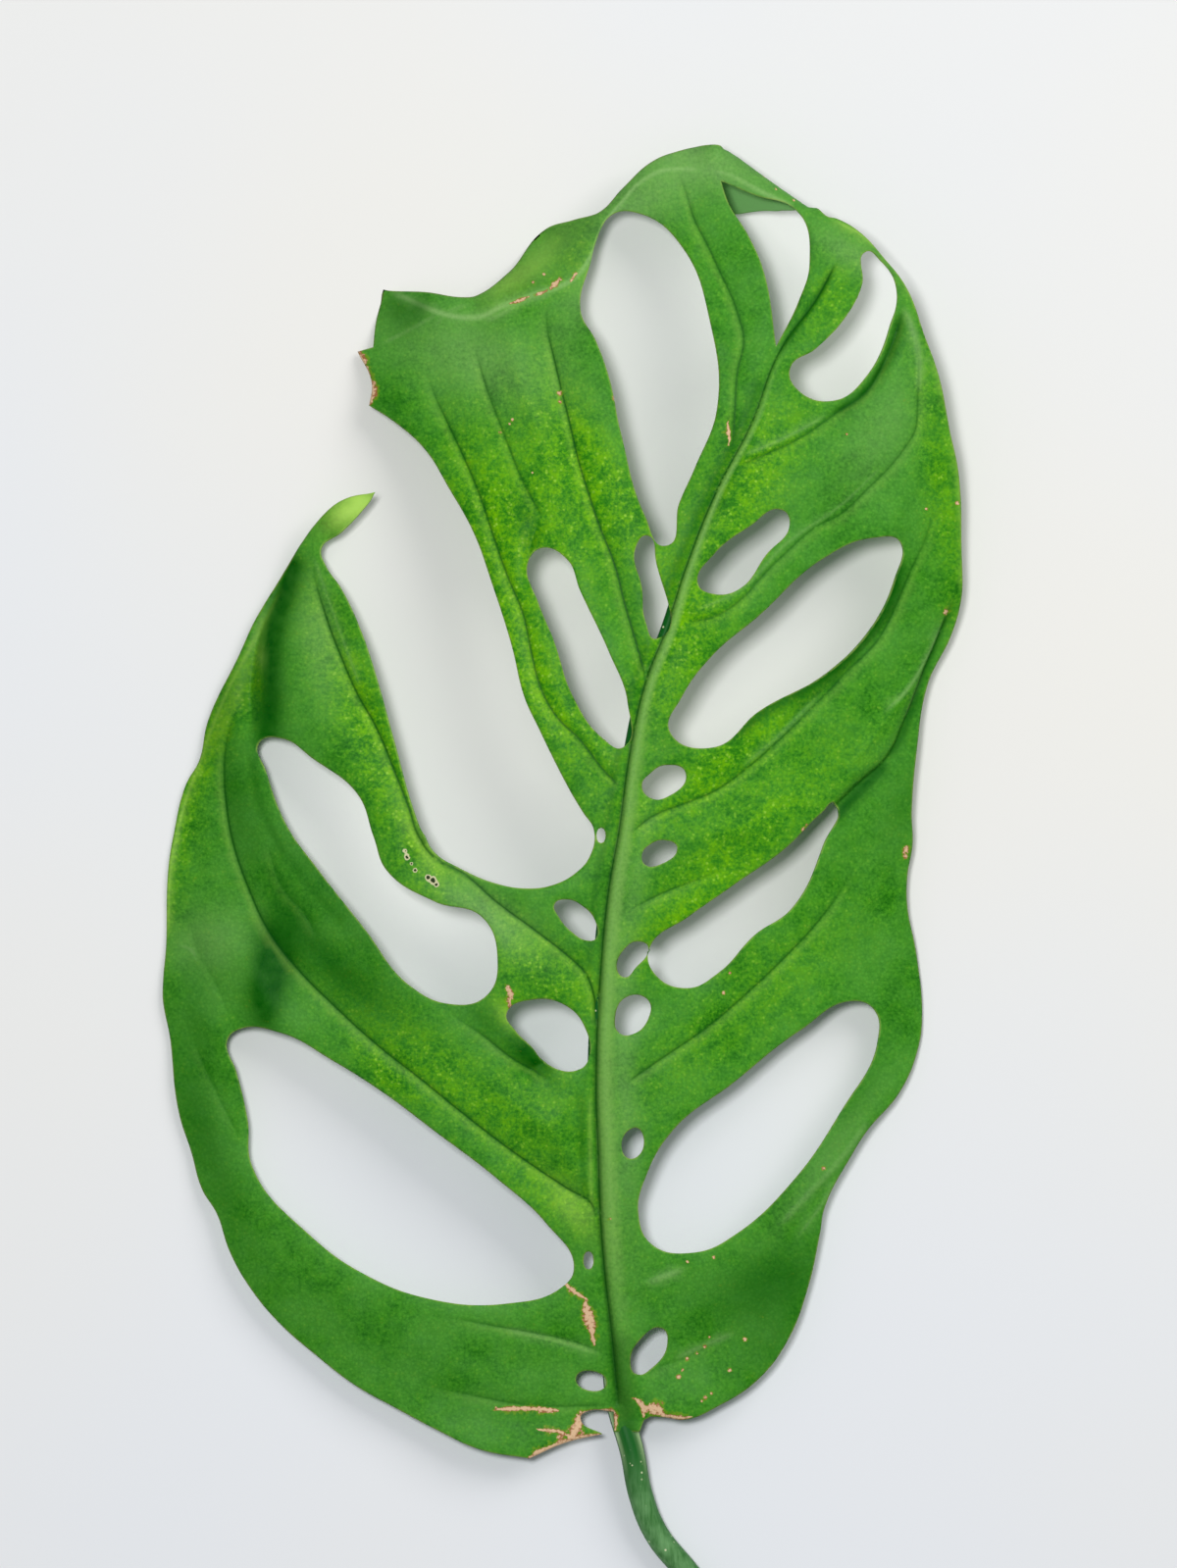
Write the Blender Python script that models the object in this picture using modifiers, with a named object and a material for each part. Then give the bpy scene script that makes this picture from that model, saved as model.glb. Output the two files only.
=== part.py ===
"""A perforated monstera leaf, as picked: blade, midrib and petiole grown as one piece.

It lies face up. +Y runs from the petiole to the top of the blade and +Z is up.
The blade is a thin slab cut to the leaf's outline and holes and then bent: arched over
the midrib, drooping to its margins, folded down past a crease at the top and rolled
under at the tip. The midrib is a tapering rib under it that runs on as the petiole.
"""

import math

import bpy
import numpy as np

MM = 0.001
CORNER = True

# Driving dimensions, in millimetres
BLADE_THICKNESS = 0.7
CELL = 5.2
TOP_CELL = 2.6
TOP_ROWS_FROM = 258.0
GRID_LOW = (-108.0, -11.0)
GRID_HIGH = (78.0, 304.0)
OUTLINE_STEPS = 3
HOLE_STEPS = 2
OVAL_SIDES = 12
CUTTER_HALF_HEIGHT = 5.0
SLOPE_STEP = 0.2
WELD_WITHIN = 0.01

BASE_HEIGHT = 7.0
ARCH_HEIGHT = 19.0
ARCH_LENGTH = 190.0
TOP_SAG = 10.0
TOP_SAG_LENGTH = 90.0
MARGIN_DROP = 0.97
LEFT_REACH = 98.5
RIGHT_REACH = 77.0

CREASE_SLOPE = 0.9
CREASE_SOFTNESS = 1.5
CREASE_FADES = (14.0, 20.0)

ROLL_START = (17.6, 281.2)
ROLL_ANGLE = -28.8
ROLL_RADIUS = 6.1
ROLL_TAPER = 0.11
ROLL_LEAST_RADIUS = 3.0
ROLL_LEFT = (-3.0, 1.0)
ROLL_RIGHT = (23.0, 30.0)
TIP_SLANT = 0.35

PETIOLE_RADIUS = 2.75
RIB_TIP_RADIUS = 0.55
RIB_TAPER_POWER = 0.8
RIB_SINK = 0.6
RIB_RINGS = 3
RIB_SIDES_EACH_QUARTER = 2

LEAF_GREEN = (0.045, 0.26, 0.02, 1.0)

# The margin, in millimetres from where the petiole meets the blade, round the left half
LEFT_MARGIN = [
    (-3.5, -2.5, CORNER), (-3.5, 2, CORNER), (-9.5, 2), (-11, 0.5), (-6, -3, CORNER),
    (-22.5, -8.5, CORNER), (-33.5, -6.5), (-53, 3), (-70.5, 14.5), (-85.5, 30), (-96.5, 52),
    (-101.5, 68.5), (-105, 95.5), (-104, 124.5), (-99.5, 143), (-94.5, 157.5), (-83.5, 182),
    (-68, 204.5), (-57.5, 209, CORNER),
]
# The open gap, where the margin between two lobes is torn away
TORN_GAP = [
    (-69, 196), (-65, 187.5), (-57.5, 170), (-48.5, 137), (-43.5, 127.5), (-31.5, 121.5),
    (-16.5, 121), (-8, 130), (-13.5, 142), (-23.5, 162.5), (-31, 188.5), (-40.5, 209.5),
    (-46, 218.5), (-58.5, 228.5, CORNER), (-58, 233.5), (-61.5, 241, CORNER), (-57.5, 248),
    (-55.5, 255, CORNER),
]
# The top of the blade, laid out flat: the points past 286 mm roll under as the tip
TOP_MARGIN = [
    (-46.5, 254), (-34, 253), (-27.5, 257.5), (-19.5, 267), (-7.5, 271), (-2, 276.5),
    (5.5, 282), (16, 286), (23.7, 289.2), (29, 297.7), (33.6, 302.1, CORNER), (36.1, 296.2),
    (38.4, 288), (41.3, 280.7), (42, 270, CORNER), (51.5, 267), (57, 261), (66, 244),
]
RIGHT_MARGIN = [
    (72, 222), (74.5, 196), (74.5, 185), (67.5, 165), (64, 133), (63, 116), (66, 90.5),
    (60.5, 74), (50, 60), (43, 42), (35.5, 18), (20, 3.5), (7.5, 1), (2.5, 2.5, CORNER),
    (2.5, -2.5, CORNER),
]

# The large holes between the side veins, each named for its half and its vein
HOLES = {
    "left_lowest": [
        (-90.5, 85.5), (-78.5, 87.5), (-55.5, 74), (-30, 55), (-12.5, 34.5), (-15.5, 30),
        (-27, 26.5), (-45, 27.5), (-71.5, 42), (-85, 57.5), (-88, 76),
    ],
    "left_second": [
        (-83.5, 152.5), (-78, 153.5), (-61, 141), (-54.5, 124), (-33, 113.5), (-29.5, 104.5),
        (-33, 95), (-40, 94), (-49.5, 98.5), (-70, 124),
    ],
    "left_inner": [
        (-27.5, 92), (-22, 95), (-14, 93.5), (-9.5, 87.5), (-10, 80), (-18.5, 80.5),
    ],
    "left_upper": [
        (-23, 192.5), (-20, 196), (-14, 193.5), (-4.5, 172.5), (-1.5, 152), (-6, 153.5),
        (-17, 175.5),
    ],
    "top_middle": [
        (-4.5, 271), (2, 271.5), (11.5, 264), (18, 246.5), (19.5, 227.5), (11, 206),
        (8, 196.5), (3.5, 203), (-2, 222), (-4.5, 234), (-11, 249.5), (-9, 260),
    ],
    "top_right": [
        (21, 277.7), (26.5, 266.5), (30, 258), (32.5, 241.5, CORNER), (38, 251),
        (40, 260), (37.5, 271),
    ],
    "right_uppermost": [
        (53, 262.5), (56, 260.5), (59.5, 255), (58.5, 246), (53, 234.5), (45.5, 229),
        (37, 232), (36, 236.5), (48.5, 248),
    ],
    "right_slit": [
        (15, 188), (18.5, 194.5), (34, 204.5), (36, 201), (24.5, 187), (18.5, 186),
    ],
    "right_upper": [
        (9, 155), (11.5, 162.5), (28.5, 180.5), (43, 193.5), (54.5, 198.5), (60.5, 197),
        (54, 177.5), (45, 168.5), (29, 159.5), (18.5, 151.5),
    ],
    "right_middle": [
        (4.8, 105.5), (13, 113.5), (34, 128.5), (46, 139), (43.5, 130), (36.5, 115.5),
        (28, 109.5), (20, 101), (13, 97.5), (6, 101),
    ],
    "right_lowest": [
        (2, 47), (3.5, 55), (10, 66), (23.5, 76.5), (49.5, 94.5), (55, 92.5), (55.5, 85.5),
        (37.5, 55), (24, 42), (14, 38), (5, 40),
    ],
}

# The small holes beside the midrib: centre x and y, half length, half width, degrees
OVALS = [
    (-12.0, 113.0, 6.0, 2.6, -42.0),
    (-6.4, 131.8, 1.7, 1.0, 90.0),
    (-9.2, 36.3, 2.0, 1.1, 90.0),
    (-8.6, 9.0, 3.5, 2.2, -12.0),
    (4.2, 187.2, 11.2, 1.9, -85.0),
    (7.6, 143.5, 5.0, 2.9, 20.0),
    (6.6, 128.0, 4.1, 2.4, 15.0),
    (0.6, 103.9, 4.2, 2.4, 50.0),
    (0.7, 91.3, 4.5, 3.4, 55.0),
    (0.7, 63.1, 3.9, 1.8, 65.0),
    (4.6, 15.6, 5.8, 3.1, 58.0),
]

MIDRIB = [
    (-2.5, 4), (-5.5, 33), (-7, 60.5), (-7.2, 80), (-4.5, 121), (0, 150), (8, 177.5),
    (12.5, 191.5), (19.5, 209), (27.5, 224.5), (36, 244), (46.5, 260.5),
]
# The petiole below the blade, from its cut end: x, y and the height of its middle
PETIOLE = [
    (30.5, -57, 2.75), (21, -44, 2.75), (12.3, -33.5, 3.0), (6, -25.5, 3.6), (2.6, -17, 4.4),
    (0.6, -7, 5.2),
]

CREASE = [
    (-55.5, 255), (-35, 248), (-27, 251), (-13, 256.5), (-9, 261.5), (-5.5, 270),
    (1, 277.5), (7.5, 281), (18.5, 281),
]


def clear_scene():
    """Removes every object that is in the scene at the start."""
    for item in list(bpy.data.objects):
        bpy.data.objects.remove(item, do_unlink=True)


def new_collection(name):
    """A collection of this name under the scene's own."""
    collection = bpy.data.collections.new(name)
    bpy.context.scene.collection.children.link(collection)
    return collection


def smooth_step(value, low, high):
    """0 up to low, 1 from high, and a smooth rise between them."""
    share = np.clip((value - low) / (high - low), 0.0, 1.0)
    return share * share * (3.0 - 2.0 * share)


def midrib_height(y):
    """Height of the blade along its midrib, which arches up and sags again at the top."""
    arch = ARCH_HEIGHT * np.sin(0.5 * math.pi * np.clip(y / ARCH_LENGTH, 0.0, 1.0))
    past = np.clip((y - ARCH_LENGTH) / TOP_SAG_LENGTH, 0.0, None)
    return BASE_HEIGHT + arch - TOP_SAG * past**2


def midrib_x(y):
    """Where the midrib runs at this distance up the blade."""
    return np.interp(y, [p[1] for p in MIDRIB], [p[0] for p in MIDRIB])


def past_crease(x, y):
    """How far points lie past the crease at the top of the blade, or 0 before it."""
    nearest = np.full(x.shape, np.inf)
    beyond = np.zeros(x.shape)
    for (ax, ay), (bx, by) in zip(CREASE[:-1], CREASE[1:], strict=True):
        length = math.hypot(bx - ax, by - ay)
        tx, ty = (bx - ax) / length, (by - ay) / length
        along = np.clip((x - ax) * tx + (y - ay) * ty, 0.0, length)
        away = np.hypot(x - ax - along * tx, y - ay - along * ty)
        side = tx * (y - ay) - ty * (x - ax)
        beyond = np.where(away < nearest, np.where(side > 0.0, away, 0.0), beyond)
        nearest = np.minimum(nearest, away)
    return beyond


def blade_height(x, y):
    """Height of the blade's middle surface, before its tip is rolled under."""
    across = x - midrib_x(y)
    reach = np.where(across < 0.0, LEFT_REACH, RIGHT_REACH)
    drooped = midrib_height(y) * (1.0 - MARGIN_DROP * np.clip(across / reach, -1.0, 1.0) ** 2)
    beyond = past_crease(x, y)
    fold = np.sqrt(beyond**2 + CREASE_SOFTNESS**2) - CREASE_SOFTNESS
    return drooped - CREASE_SLOPE * fold * (1.0 - smooth_step(x, *CREASE_FADES))


def blade_place(x, y):
    """Where points of the flat blade lie in the bent one, as rows of x, y and z."""
    turn = math.radians(ROLL_ANGLE)
    tx, ty = math.cos(turn), math.sin(turn)
    nx, ny = -ty, tx
    along = (x - ROLL_START[0]) * tx + (y - ROLL_START[1]) * ty
    out = (x - ROLL_START[0]) * nx + (y - ROLL_START[1]) * ny
    share = smooth_step(along, *ROLL_LEFT) * (1.0 - smooth_step(along, *ROLL_RIGHT))
    rolled = np.clip(out, 0.0, None) * share
    radius = np.clip(ROLL_RADIUS - ROLL_TAPER * along, ROLL_LEAST_RADIUS, ROLL_RADIUS)
    angle = np.clip(rolled / radius, 0.0, math.pi)
    straight = np.clip(rolled - math.pi * radius, 0.0, None)
    kept = out - rolled
    new_out = kept + radius * np.sin(angle) - straight
    flat_x = x - nx * rolled
    flat_y = y - ny * rolled
    height = blade_height(flat_x, flat_y) - radius * (1.0 - np.cos(angle)) - TIP_SLANT * straight
    return np.stack(
        [ROLL_START[0] + along * tx + new_out * nx, ROLL_START[1] + along * ty + new_out * ny, height],
        axis=-1,
    )


def bent(points):
    """The points of the flat slab moved to the bent blade, its thickness square to it."""
    x, y, z = points.T
    slope_x = blade_place(x + SLOPE_STEP, y) - blade_place(x - SLOPE_STEP, y)
    slope_y = blade_place(x, y + SLOPE_STEP) - blade_place(x, y - SLOPE_STEP)
    normal = np.cross(slope_x, slope_y)
    normal /= np.linalg.norm(normal, axis=1, keepdims=True)
    return blade_place(x, y) + normal * z[:, None]


def grid_rows(share, count):
    """Heights of the grid's rows, which are closer together where the blade rolls."""
    coarse = np.arange(GRID_LOW[1], TOP_ROWS_FROM, CELL)
    fine = np.linspace(TOP_ROWS_FROM, GRID_HIGH[1], count - len(coarse))
    return np.concatenate([coarse, fine])[np.rint(share * (count - 1)).astype(int)]


def flat_slab():
    """A thin flat slab of cells, larger than the blade."""
    columns = math.ceil((GRID_HIGH[0] - GRID_LOW[0]) / CELL)
    rows = len(np.arange(GRID_LOW[1], TOP_ROWS_FROM, CELL))
    rows += math.ceil((GRID_HIGH[1] - TOP_ROWS_FROM) / TOP_CELL)
    bpy.ops.mesh.primitive_grid_add(x_subdivisions=columns, y_subdivisions=rows, size=1.0)
    slab = bpy.context.object
    slab.name = "flat_slab"
    flat = np.empty(len(slab.data.vertices) * 3)
    slab.data.vertices.foreach_get("co", flat)
    flat = flat.reshape(-1, 3)
    flat[:, 0] = (GRID_LOW[0] + (flat[:, 0] + 0.5) * (GRID_HIGH[0] - GRID_LOW[0])) * MM
    flat[:, 1] = grid_rows(flat[:, 1] + 0.5, rows + 1) * MM
    slab.data.vertices.foreach_set("co", flat.ravel())
    wall = slab.modifiers.new("thickness", "SOLIDIFY")
    wall.thickness = BLADE_THICKNESS * MM
    wall.offset = 0.0
    return slab


def add_loop(curve, points, steps):
    """Adds a closed smooth line through the points, with a sharp turn at each corner."""
    spline = curve.splines.new("BEZIER")
    spline.bezier_points.add(len(points) - 1)
    for knot, (x, y, *corner) in zip(spline.bezier_points, points, strict=True):
        knot.co = (x * MM, y * MM, 0.0)
        kind = "VECTOR" if corner else "AUTO"
        knot.handle_left_type = kind
        knot.handle_right_type = kind
    spline.use_cyclic_u = True
    spline.resolution_u = steps


def oval_points(x, y, half_length, half_width, degrees):
    """The corners of a many-sided oval."""
    turn = math.radians(degrees)
    points = []
    for side in range(OVAL_SIDES):
        angle = 2.0 * math.pi * side / OVAL_SIDES
        a, b = half_length * math.cos(angle), half_width * math.sin(angle)
        points.append(
            (x + a * math.cos(turn) - b * math.sin(turn), y + a * math.sin(turn) + b * math.cos(turn))
        )
    return points


def outline_cutter(cutters):
    """A tall solid with the flat blade's outline and holes."""
    curve = bpy.data.curves.new("leaf_outline", "CURVE")
    curve.dimensions = "2D"
    curve.fill_mode = "BOTH"
    curve.extrude = CUTTER_HALF_HEIGHT * MM
    add_loop(curve, LEFT_MARGIN + TORN_GAP + TOP_MARGIN + RIGHT_MARGIN, OUTLINE_STEPS)
    for points in HOLES.values():
        add_loop(curve, points, HOLE_STEPS)
    for oval in OVALS:
        add_loop(curve, oval_points(*oval), 1)
    guide = bpy.data.objects.new("leaf_outline", curve)
    cutters.objects.link(guide)
    return made_mesh(guide, "outline_cutter", cutters)


def made_mesh(item, name, collection):
    """A welded mesh object of what item shows with its modifiers; item is removed."""
    seen = item.evaluated_get(bpy.context.evaluated_depsgraph_get())
    mesh = bpy.data.meshes.new_from_object(seen)
    mesh.name = name
    result = bpy.data.objects.new(name, mesh)
    result.matrix_world = item.matrix_world.copy()
    collection.objects.link(result)
    bpy.data.objects.remove(item, do_unlink=True)
    weld = result.modifiers.new("weld", "WELD")
    weld.merge_threshold = WELD_WITHIN * MM
    return result


def hide_cutter(item):
    """Marks an object as a cutter, which is no part of the leaf."""
    item.hide_render = True
    item.display_type = "WIRE"


def leaf_blade(cutters):
    """The blade: the slab cut to its outline and bent to its lying shape."""
    slab = flat_slab()
    cutter = outline_cutter(cutters)
    hide_cutter(cutter)
    cut = slab.modifiers.new("outline", "BOOLEAN")
    cut.operation = "INTERSECT"
    cut.object = cutter
    cut.solver = "EXACT"
    blade = made_mesh(slab, "leaf_blade", cutters)
    flat = np.empty(len(blade.data.vertices) * 3)
    blade.data.vertices.foreach_get("co", flat)
    curved = bent(flat.reshape(-1, 3) / MM) * MM
    blade.data.vertices.foreach_set("co", curved.ravel())
    return blade


def midrib_and_petiole(cutters):
    """The rib from the petiole's cut end, under the blade, to near its tip."""
    curve = bpy.data.curves.new("rib_line", "CURVE")
    curve.dimensions = "3D"
    curve.bevel_depth = 1.0 * MM
    curve.bevel_resolution = RIB_SIDES_EACH_QUARTER
    curve.use_fill_caps = True
    route = [(x, y, z, PETIOLE_RADIUS) for x, y, z in PETIOLE]
    for number, (x, y) in enumerate(MIDRIB):
        share = number / (len(MIDRIB) - 1)
        radius = PETIOLE_RADIUS + (RIB_TIP_RADIUS - PETIOLE_RADIUS) * share**RIB_TAPER_POWER
        height = blade_height(np.array(float(x)), np.array(float(y))) - RIB_SINK * radius
        route.append((x, y, float(height), radius))
    spline = curve.splines.new("BEZIER")
    spline.bezier_points.add(len(route) - 1)
    for knot, (x, y, z, radius) in zip(spline.bezier_points, route, strict=True):
        knot.co = (x * MM, y * MM, z * MM)
        knot.radius = radius
        knot.handle_left_type = "AUTO"
        knot.handle_right_type = "AUTO"
    spline.resolution_u = RIB_RINGS
    guide = bpy.data.objects.new("rib_line", curve)
    cutters.objects.link(guide)
    return made_mesh(guide, "rib", cutters)


def leaf_material():
    """A glossy leaf green."""
    material = bpy.data.materials.new("leaf_green")
    material.use_nodes = True
    shader = material.node_tree.nodes["Principled BSDF"]
    shader.inputs["Base Color"].default_value = LEAF_GREEN
    shader.inputs["Roughness"].default_value = 0.4
    shader.inputs["Metallic"].default_value = 0.0
    return material


def seated(leaf):
    """Moves the leaf's mesh so that it stands on z = 0 with its box's middle over the origin."""
    co = np.empty(len(leaf.data.vertices) * 3)
    leaf.data.vertices.foreach_get("co", co)
    co = co.reshape(-1, 3)
    low, high = co.min(axis=0), co.max(axis=0)
    co -= [(low[0] + high[0]) / 2.0, (low[1] + high[1]) / 2.0, low[2]]
    leaf.data.vertices.foreach_set("co", co.ravel())


def build_leaf():
    """The whole leaf as one solid."""
    clear_scene()
    cutters = new_collection("cutters")
    parts = new_collection("monstera_leaf")
    blade = leaf_blade(cutters)
    rib = midrib_and_petiole(cutters)
    hide_cutter(rib)
    joined = blade.modifiers.new("rib", "BOOLEAN")
    joined.operation = "UNION"
    joined.object = rib
    joined.solver = "EXACT"
    leaf = made_mesh(blade, "monstera_leaf", parts)
    seated(leaf)
    leaf.data.materials.clear()
    leaf.data.materials.append(leaf_material())
    leaf.data.shade_smooth()
    leaf.data.set_sharp_from_angle(angle=math.radians(40.0))


build_leaf()
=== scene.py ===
"""Looks of a perforated monstera leaf, lying face up as picked.

The leaf is described on its blade laid out flat, in millimetres from where the petiole
meets the blade, with +Y towards the blade's top and +X to the right as seen from above.
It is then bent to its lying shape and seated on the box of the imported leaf, in metres.
"""

import logging
import math
from dataclasses import dataclass, field
from enum import Enum
from typing import Any

import bpy
import numpy as np
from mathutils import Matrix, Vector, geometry


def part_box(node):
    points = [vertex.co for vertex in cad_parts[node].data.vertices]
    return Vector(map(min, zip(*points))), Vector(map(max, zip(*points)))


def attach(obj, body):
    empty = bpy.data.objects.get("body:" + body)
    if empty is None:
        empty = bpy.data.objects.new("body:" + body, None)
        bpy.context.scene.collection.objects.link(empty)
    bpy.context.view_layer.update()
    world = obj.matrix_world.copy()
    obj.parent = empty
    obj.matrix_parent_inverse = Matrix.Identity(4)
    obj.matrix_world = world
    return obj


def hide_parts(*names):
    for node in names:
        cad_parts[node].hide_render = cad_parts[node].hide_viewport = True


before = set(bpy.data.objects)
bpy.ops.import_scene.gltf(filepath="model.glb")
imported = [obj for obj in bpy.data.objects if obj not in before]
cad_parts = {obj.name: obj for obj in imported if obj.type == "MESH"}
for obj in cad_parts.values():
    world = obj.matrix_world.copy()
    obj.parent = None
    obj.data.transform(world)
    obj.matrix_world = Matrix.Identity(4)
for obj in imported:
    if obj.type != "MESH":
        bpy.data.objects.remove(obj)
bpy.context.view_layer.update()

LOG = logging.getLogger("monstera_leaf")
NODE = "monstera_leaf"
BODY = "root"

MM = 0.001
# How far above the floor the lowest points keep, in millimetres.
FLOOR_GAP = 0.05
# A length below which nothing is measured, in millimetres.
TINY = 1e-6
# The third value of a point at which a line turns sharply.
SHARP = True
# What a smooth line's handles are divided by, so that it runs round between its points.
HANDLE_SHARE = 2.5614
Route = tuple[tuple[float, ...], ...]
Place = tuple[float, float, float]
Colour = tuple[float, float, float]
Range = tuple[float, float]

# ---- The blade's edge ----

LEFT_MARGIN: Route = (
    (-3.5, -2.5, SHARP), (-3.5, 2, SHARP), (-9.5, 2), (-11, 0.5), (-6, -3, SHARP), (-14.5, -5),
    (-22.5, -8.5, SHARP), (-33.5, -6.5), (-43.5, -2), (-53, 3), (-62, 8), (-70.5, 14.5), (-79, 22),
    (-85.5, 30), (-90, 38), (-93, 46.5), (-96.5, 52), (-99, 60.5), (-101.5, 68.5), (-103.5, 85.5),
    (-105, 95.5), (-104.5, 107), (-104, 124.5), (-102.8, 132), (-100.1, 143), (-97.1, 148.5),
    (-95.2, 157.5), (-89, 171.3), (-84, 182.3), (-75.8, 195.3), (-68, 204.7), (-63.5, 207.7),
    (-57.5, 209, SHARP),
)
TORN_GAP: Route = (
    (-60, 205.5), (-65, 200), (-69.5, 196.5), (-68.5, 192.5), (-65, 187.5), (-61, 179.5),
    (-57.5, 170), (-53, 153.5), (-48.5, 137), (-46, 131), (-43.5, 127.5), (-38.5, 124.5),
    (-31.5, 121.5), (-22.5, 120), (-16.5, 121), (-12, 123.5), (-9, 127), (-8, 133), (-10.5, 137),
    (-13.5, 142), (-20.5, 156), (-23.5, 162.5), (-26.5, 174.5), (-31, 188.5), (-35, 199.5),
    (-40.5, 209.5), (-46, 218.5), (-52.5, 224.5), (-58.5, 228.5, SHARP), (-58, 233.5),
    (-61.5, 241, SHARP), (-58, 242, SHARP), (-57.5, 248), (-55.5, 255, SHARP),
)
TOP_MARGIN: Route = (
    (-46.5, 254.3), (-37, 252.7), (-34, 253.2), (-27.5, 258.7), (-19.5, 268.6), (-13, 270.6),
    (-7.5, 272.2), (-2, 277.7), (5.5, 283.6), (11, 285.7), (16, 286.6), (20.5, 287.1),
    (24.5, 288.9), (29, 297.7), (33.6, 302.1, SHARP), (36.1, 296.2), (38.4, 288), (41, 280.7),
    (42.2, 273.5), (44, 270.7),
)
RIGHT_MARGIN: Route = (
    (46.5, 270), (51.5, 267), (57, 261), (62, 254.5), (66, 244), (69.5, 234.5), (72, 222),
    (74, 212), (74.5, 196), (74.5, 185), (73, 177.5), (67.5, 165), (64.5, 150.5), (63.5, 137.5),
    (64, 129.5), (63, 122.5), (63, 116), (65, 105), (66, 90.5), (65, 84), (60.5, 74), (53, 65),
    (50, 60), (44, 48), (43, 42), (40.5, 30.5), (35.5, 18), (28.5, 9), (20, 3.5), (12.5, 0.5),
    (8, 1), (4.8, 1.1, SHARP), (3.3, 0.2, SHARP), (2.3, -2.5, SHARP),
)

HOLES: dict[str, Route] = {
    "left_lowest": (
        (-90.5, 85.5), (-88, 88), (-78.5, 87.5), (-66.5, 81), (-55.5, 74), (-44, 65.5), (-30, 55),
        (-18.5, 44.5), (-12.5, 34.5), (-15.5, 30), (-27, 26.5), (-45, 27.5), (-59, 33), (-71.5, 42),
        (-85, 57.5), (-86, 67.5), (-88.5, 78.5),
    ),
    "left_second": (
        (-83.5, 152.5), (-78, 153.5), (-71, 149), (-61, 141), (-57.5, 131.5), (-54.5, 124),
        (-43.5, 117), (-33, 113.5), (-29.5, 104.5), (-32, 96), (-40, 94), (-49.5, 98.5),
        (-59, 110.5), (-70, 124), (-77.5, 134.5), (-82, 146.5),
    ),
    "left_third": (
        (-16.75, 116.5), (-14, 117.5), (-10.5, 116), (-7.75, 112.75), (-7.5, 108.75),
        (-9.25, 108.25), (-13.25, 110.5), (-15.75, 113.5),
    ),
    "left_inner": (
        (-27.5, 92), (-22, 95), (-14, 93.5), (-9.5, 87.5), (-9, 82.5), (-11, 79.5), (-18.5, 80.5),
        (-22, 84.5), (-25.5, 88),
    ),
    "left_upper": (
        (-23, 192.5), (-20, 196), (-14, 193.5), (-11, 186.5), (-4.5, 172.5), (-0.5, 161.5),
        (-1.5, 151.5), (-6, 153.5), (-12.5, 162.5), (-17, 175.5), (-20.5, 184),
    ),
    "middle_slit": (
        (1.25, 195.75), (4, 198.75), (5.75, 193.5), (6, 175.75), (3.5, 179.75), (2.75, 187),
    ),
    "top_middle": (
        (-4.5, 271), (2, 271.5), (11.5, 264), (18, 246.5), (19.5, 227.5), (14.5, 214), (11, 206),
        (8, 196.5), (3.5, 203), (-2, 222), (-4.5, 234), (-7.5, 242.5), (-11, 249.5), (-9, 260),
    ),
    "top_right": (
        (20.5, 278.5, SHARP), (22.3, 273.2), (26.5, 266.25), (30, 258), (32.75, 241.25, SHARP),
        (37.75, 251.25),
        (40.25, 260), (37.5, 271.75), (28, 275.25),
    ),
    "right_uppermost": (
        (53, 262.5), (56, 260.5), (59.5, 255), (58.5, 246), (53, 234.5), (45.5, 229), (37, 232),
        (36, 236.5), (41.5, 240.5), (48.5, 248), (52, 255),
    ),
    "right_slit": (
        (15.25, 188), (18.75, 194.5), (26.75, 200.75), (34, 204.5), (35.75, 201.25), (30.5, 194.5),
        (24.75, 187), (18.75, 185.75),
    ),
    "right_upper": (
        (9, 155), (11.5, 162.5), (18.5, 172), (28.5, 180.5), (43, 193.5), (54.5, 198.5),
        (60.5, 197.5), (59.5, 189), (54, 177.5), (45, 168.5), (29, 159.5), (18.5, 151.5),
    ),
    "right_fourth": (
        (2.75, 143), (4.75, 145.75), (8, 147.5), (12.5, 145.75), (8, 140.25), (4.5, 140.25),
    ),
    "right_third": (
        (2.75, 127.5), (4.5, 129.75), (8, 130.75), (10.5, 129.25), (6.5, 125.25), (3.5, 125.25),
    ),
    "right_middle": (
        (4.5, 106.5), (13, 113.5), (23, 120.5), (34, 128.5), (43, 137), (46, 139), (43.5, 130),
        (36.5, 115.5), (28, 109.5), (20, 101), (13, 97.5), (5.5, 101),
    ),
    "right_second": (
        (-2.75, 101.75), (-0.75, 106.75), (1.75, 108), (4.25, 106.75), (1.25, 102), (-1, 100),
    ),
    "right_inner": (
        (-3.25, 90.5), (-0.75, 95.5), (4.25, 94.75), (4.25, 90.75), (0.75, 87.25), (-2.25, 87.5),
    ),
    "right_lowest": (
        (2, 47), (3.5, 55), (10, 66), (23.5, 76.5), (38, 88), (49.5, 94.5), (55, 92.5),
        (55.5, 85.5), (48, 71), (37.5, 55), (24, 42), (14, 38), (5, 40),
    ),
    "right_sliver": ((-1.5, 60.75), (0.75, 66.25), (2.75, 65.25), (1, 59.5)),
    "right_base": ((0.25, 13), (2.5, 18.5), (7.25, 21), (8.5, 17.5), (5, 11.75), (1.75, 10.5)),
    "left_speck": ((-7.4, 131.8), (-6.4, 133.5), (-5.4, 131.8), (-6.4, 130.1)),
    "left_dot": ((-10.3, 36.3), (-9.2, 38.3), (-8.1, 36.3), (-9.2, 34.3)),
    "left_base": ((-12, 9.7), (-8.1, 11.2), (-5.2, 8.3), (-9.1, 6.8)),
}

# ---- The veins, from the midrib outwards ----

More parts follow.
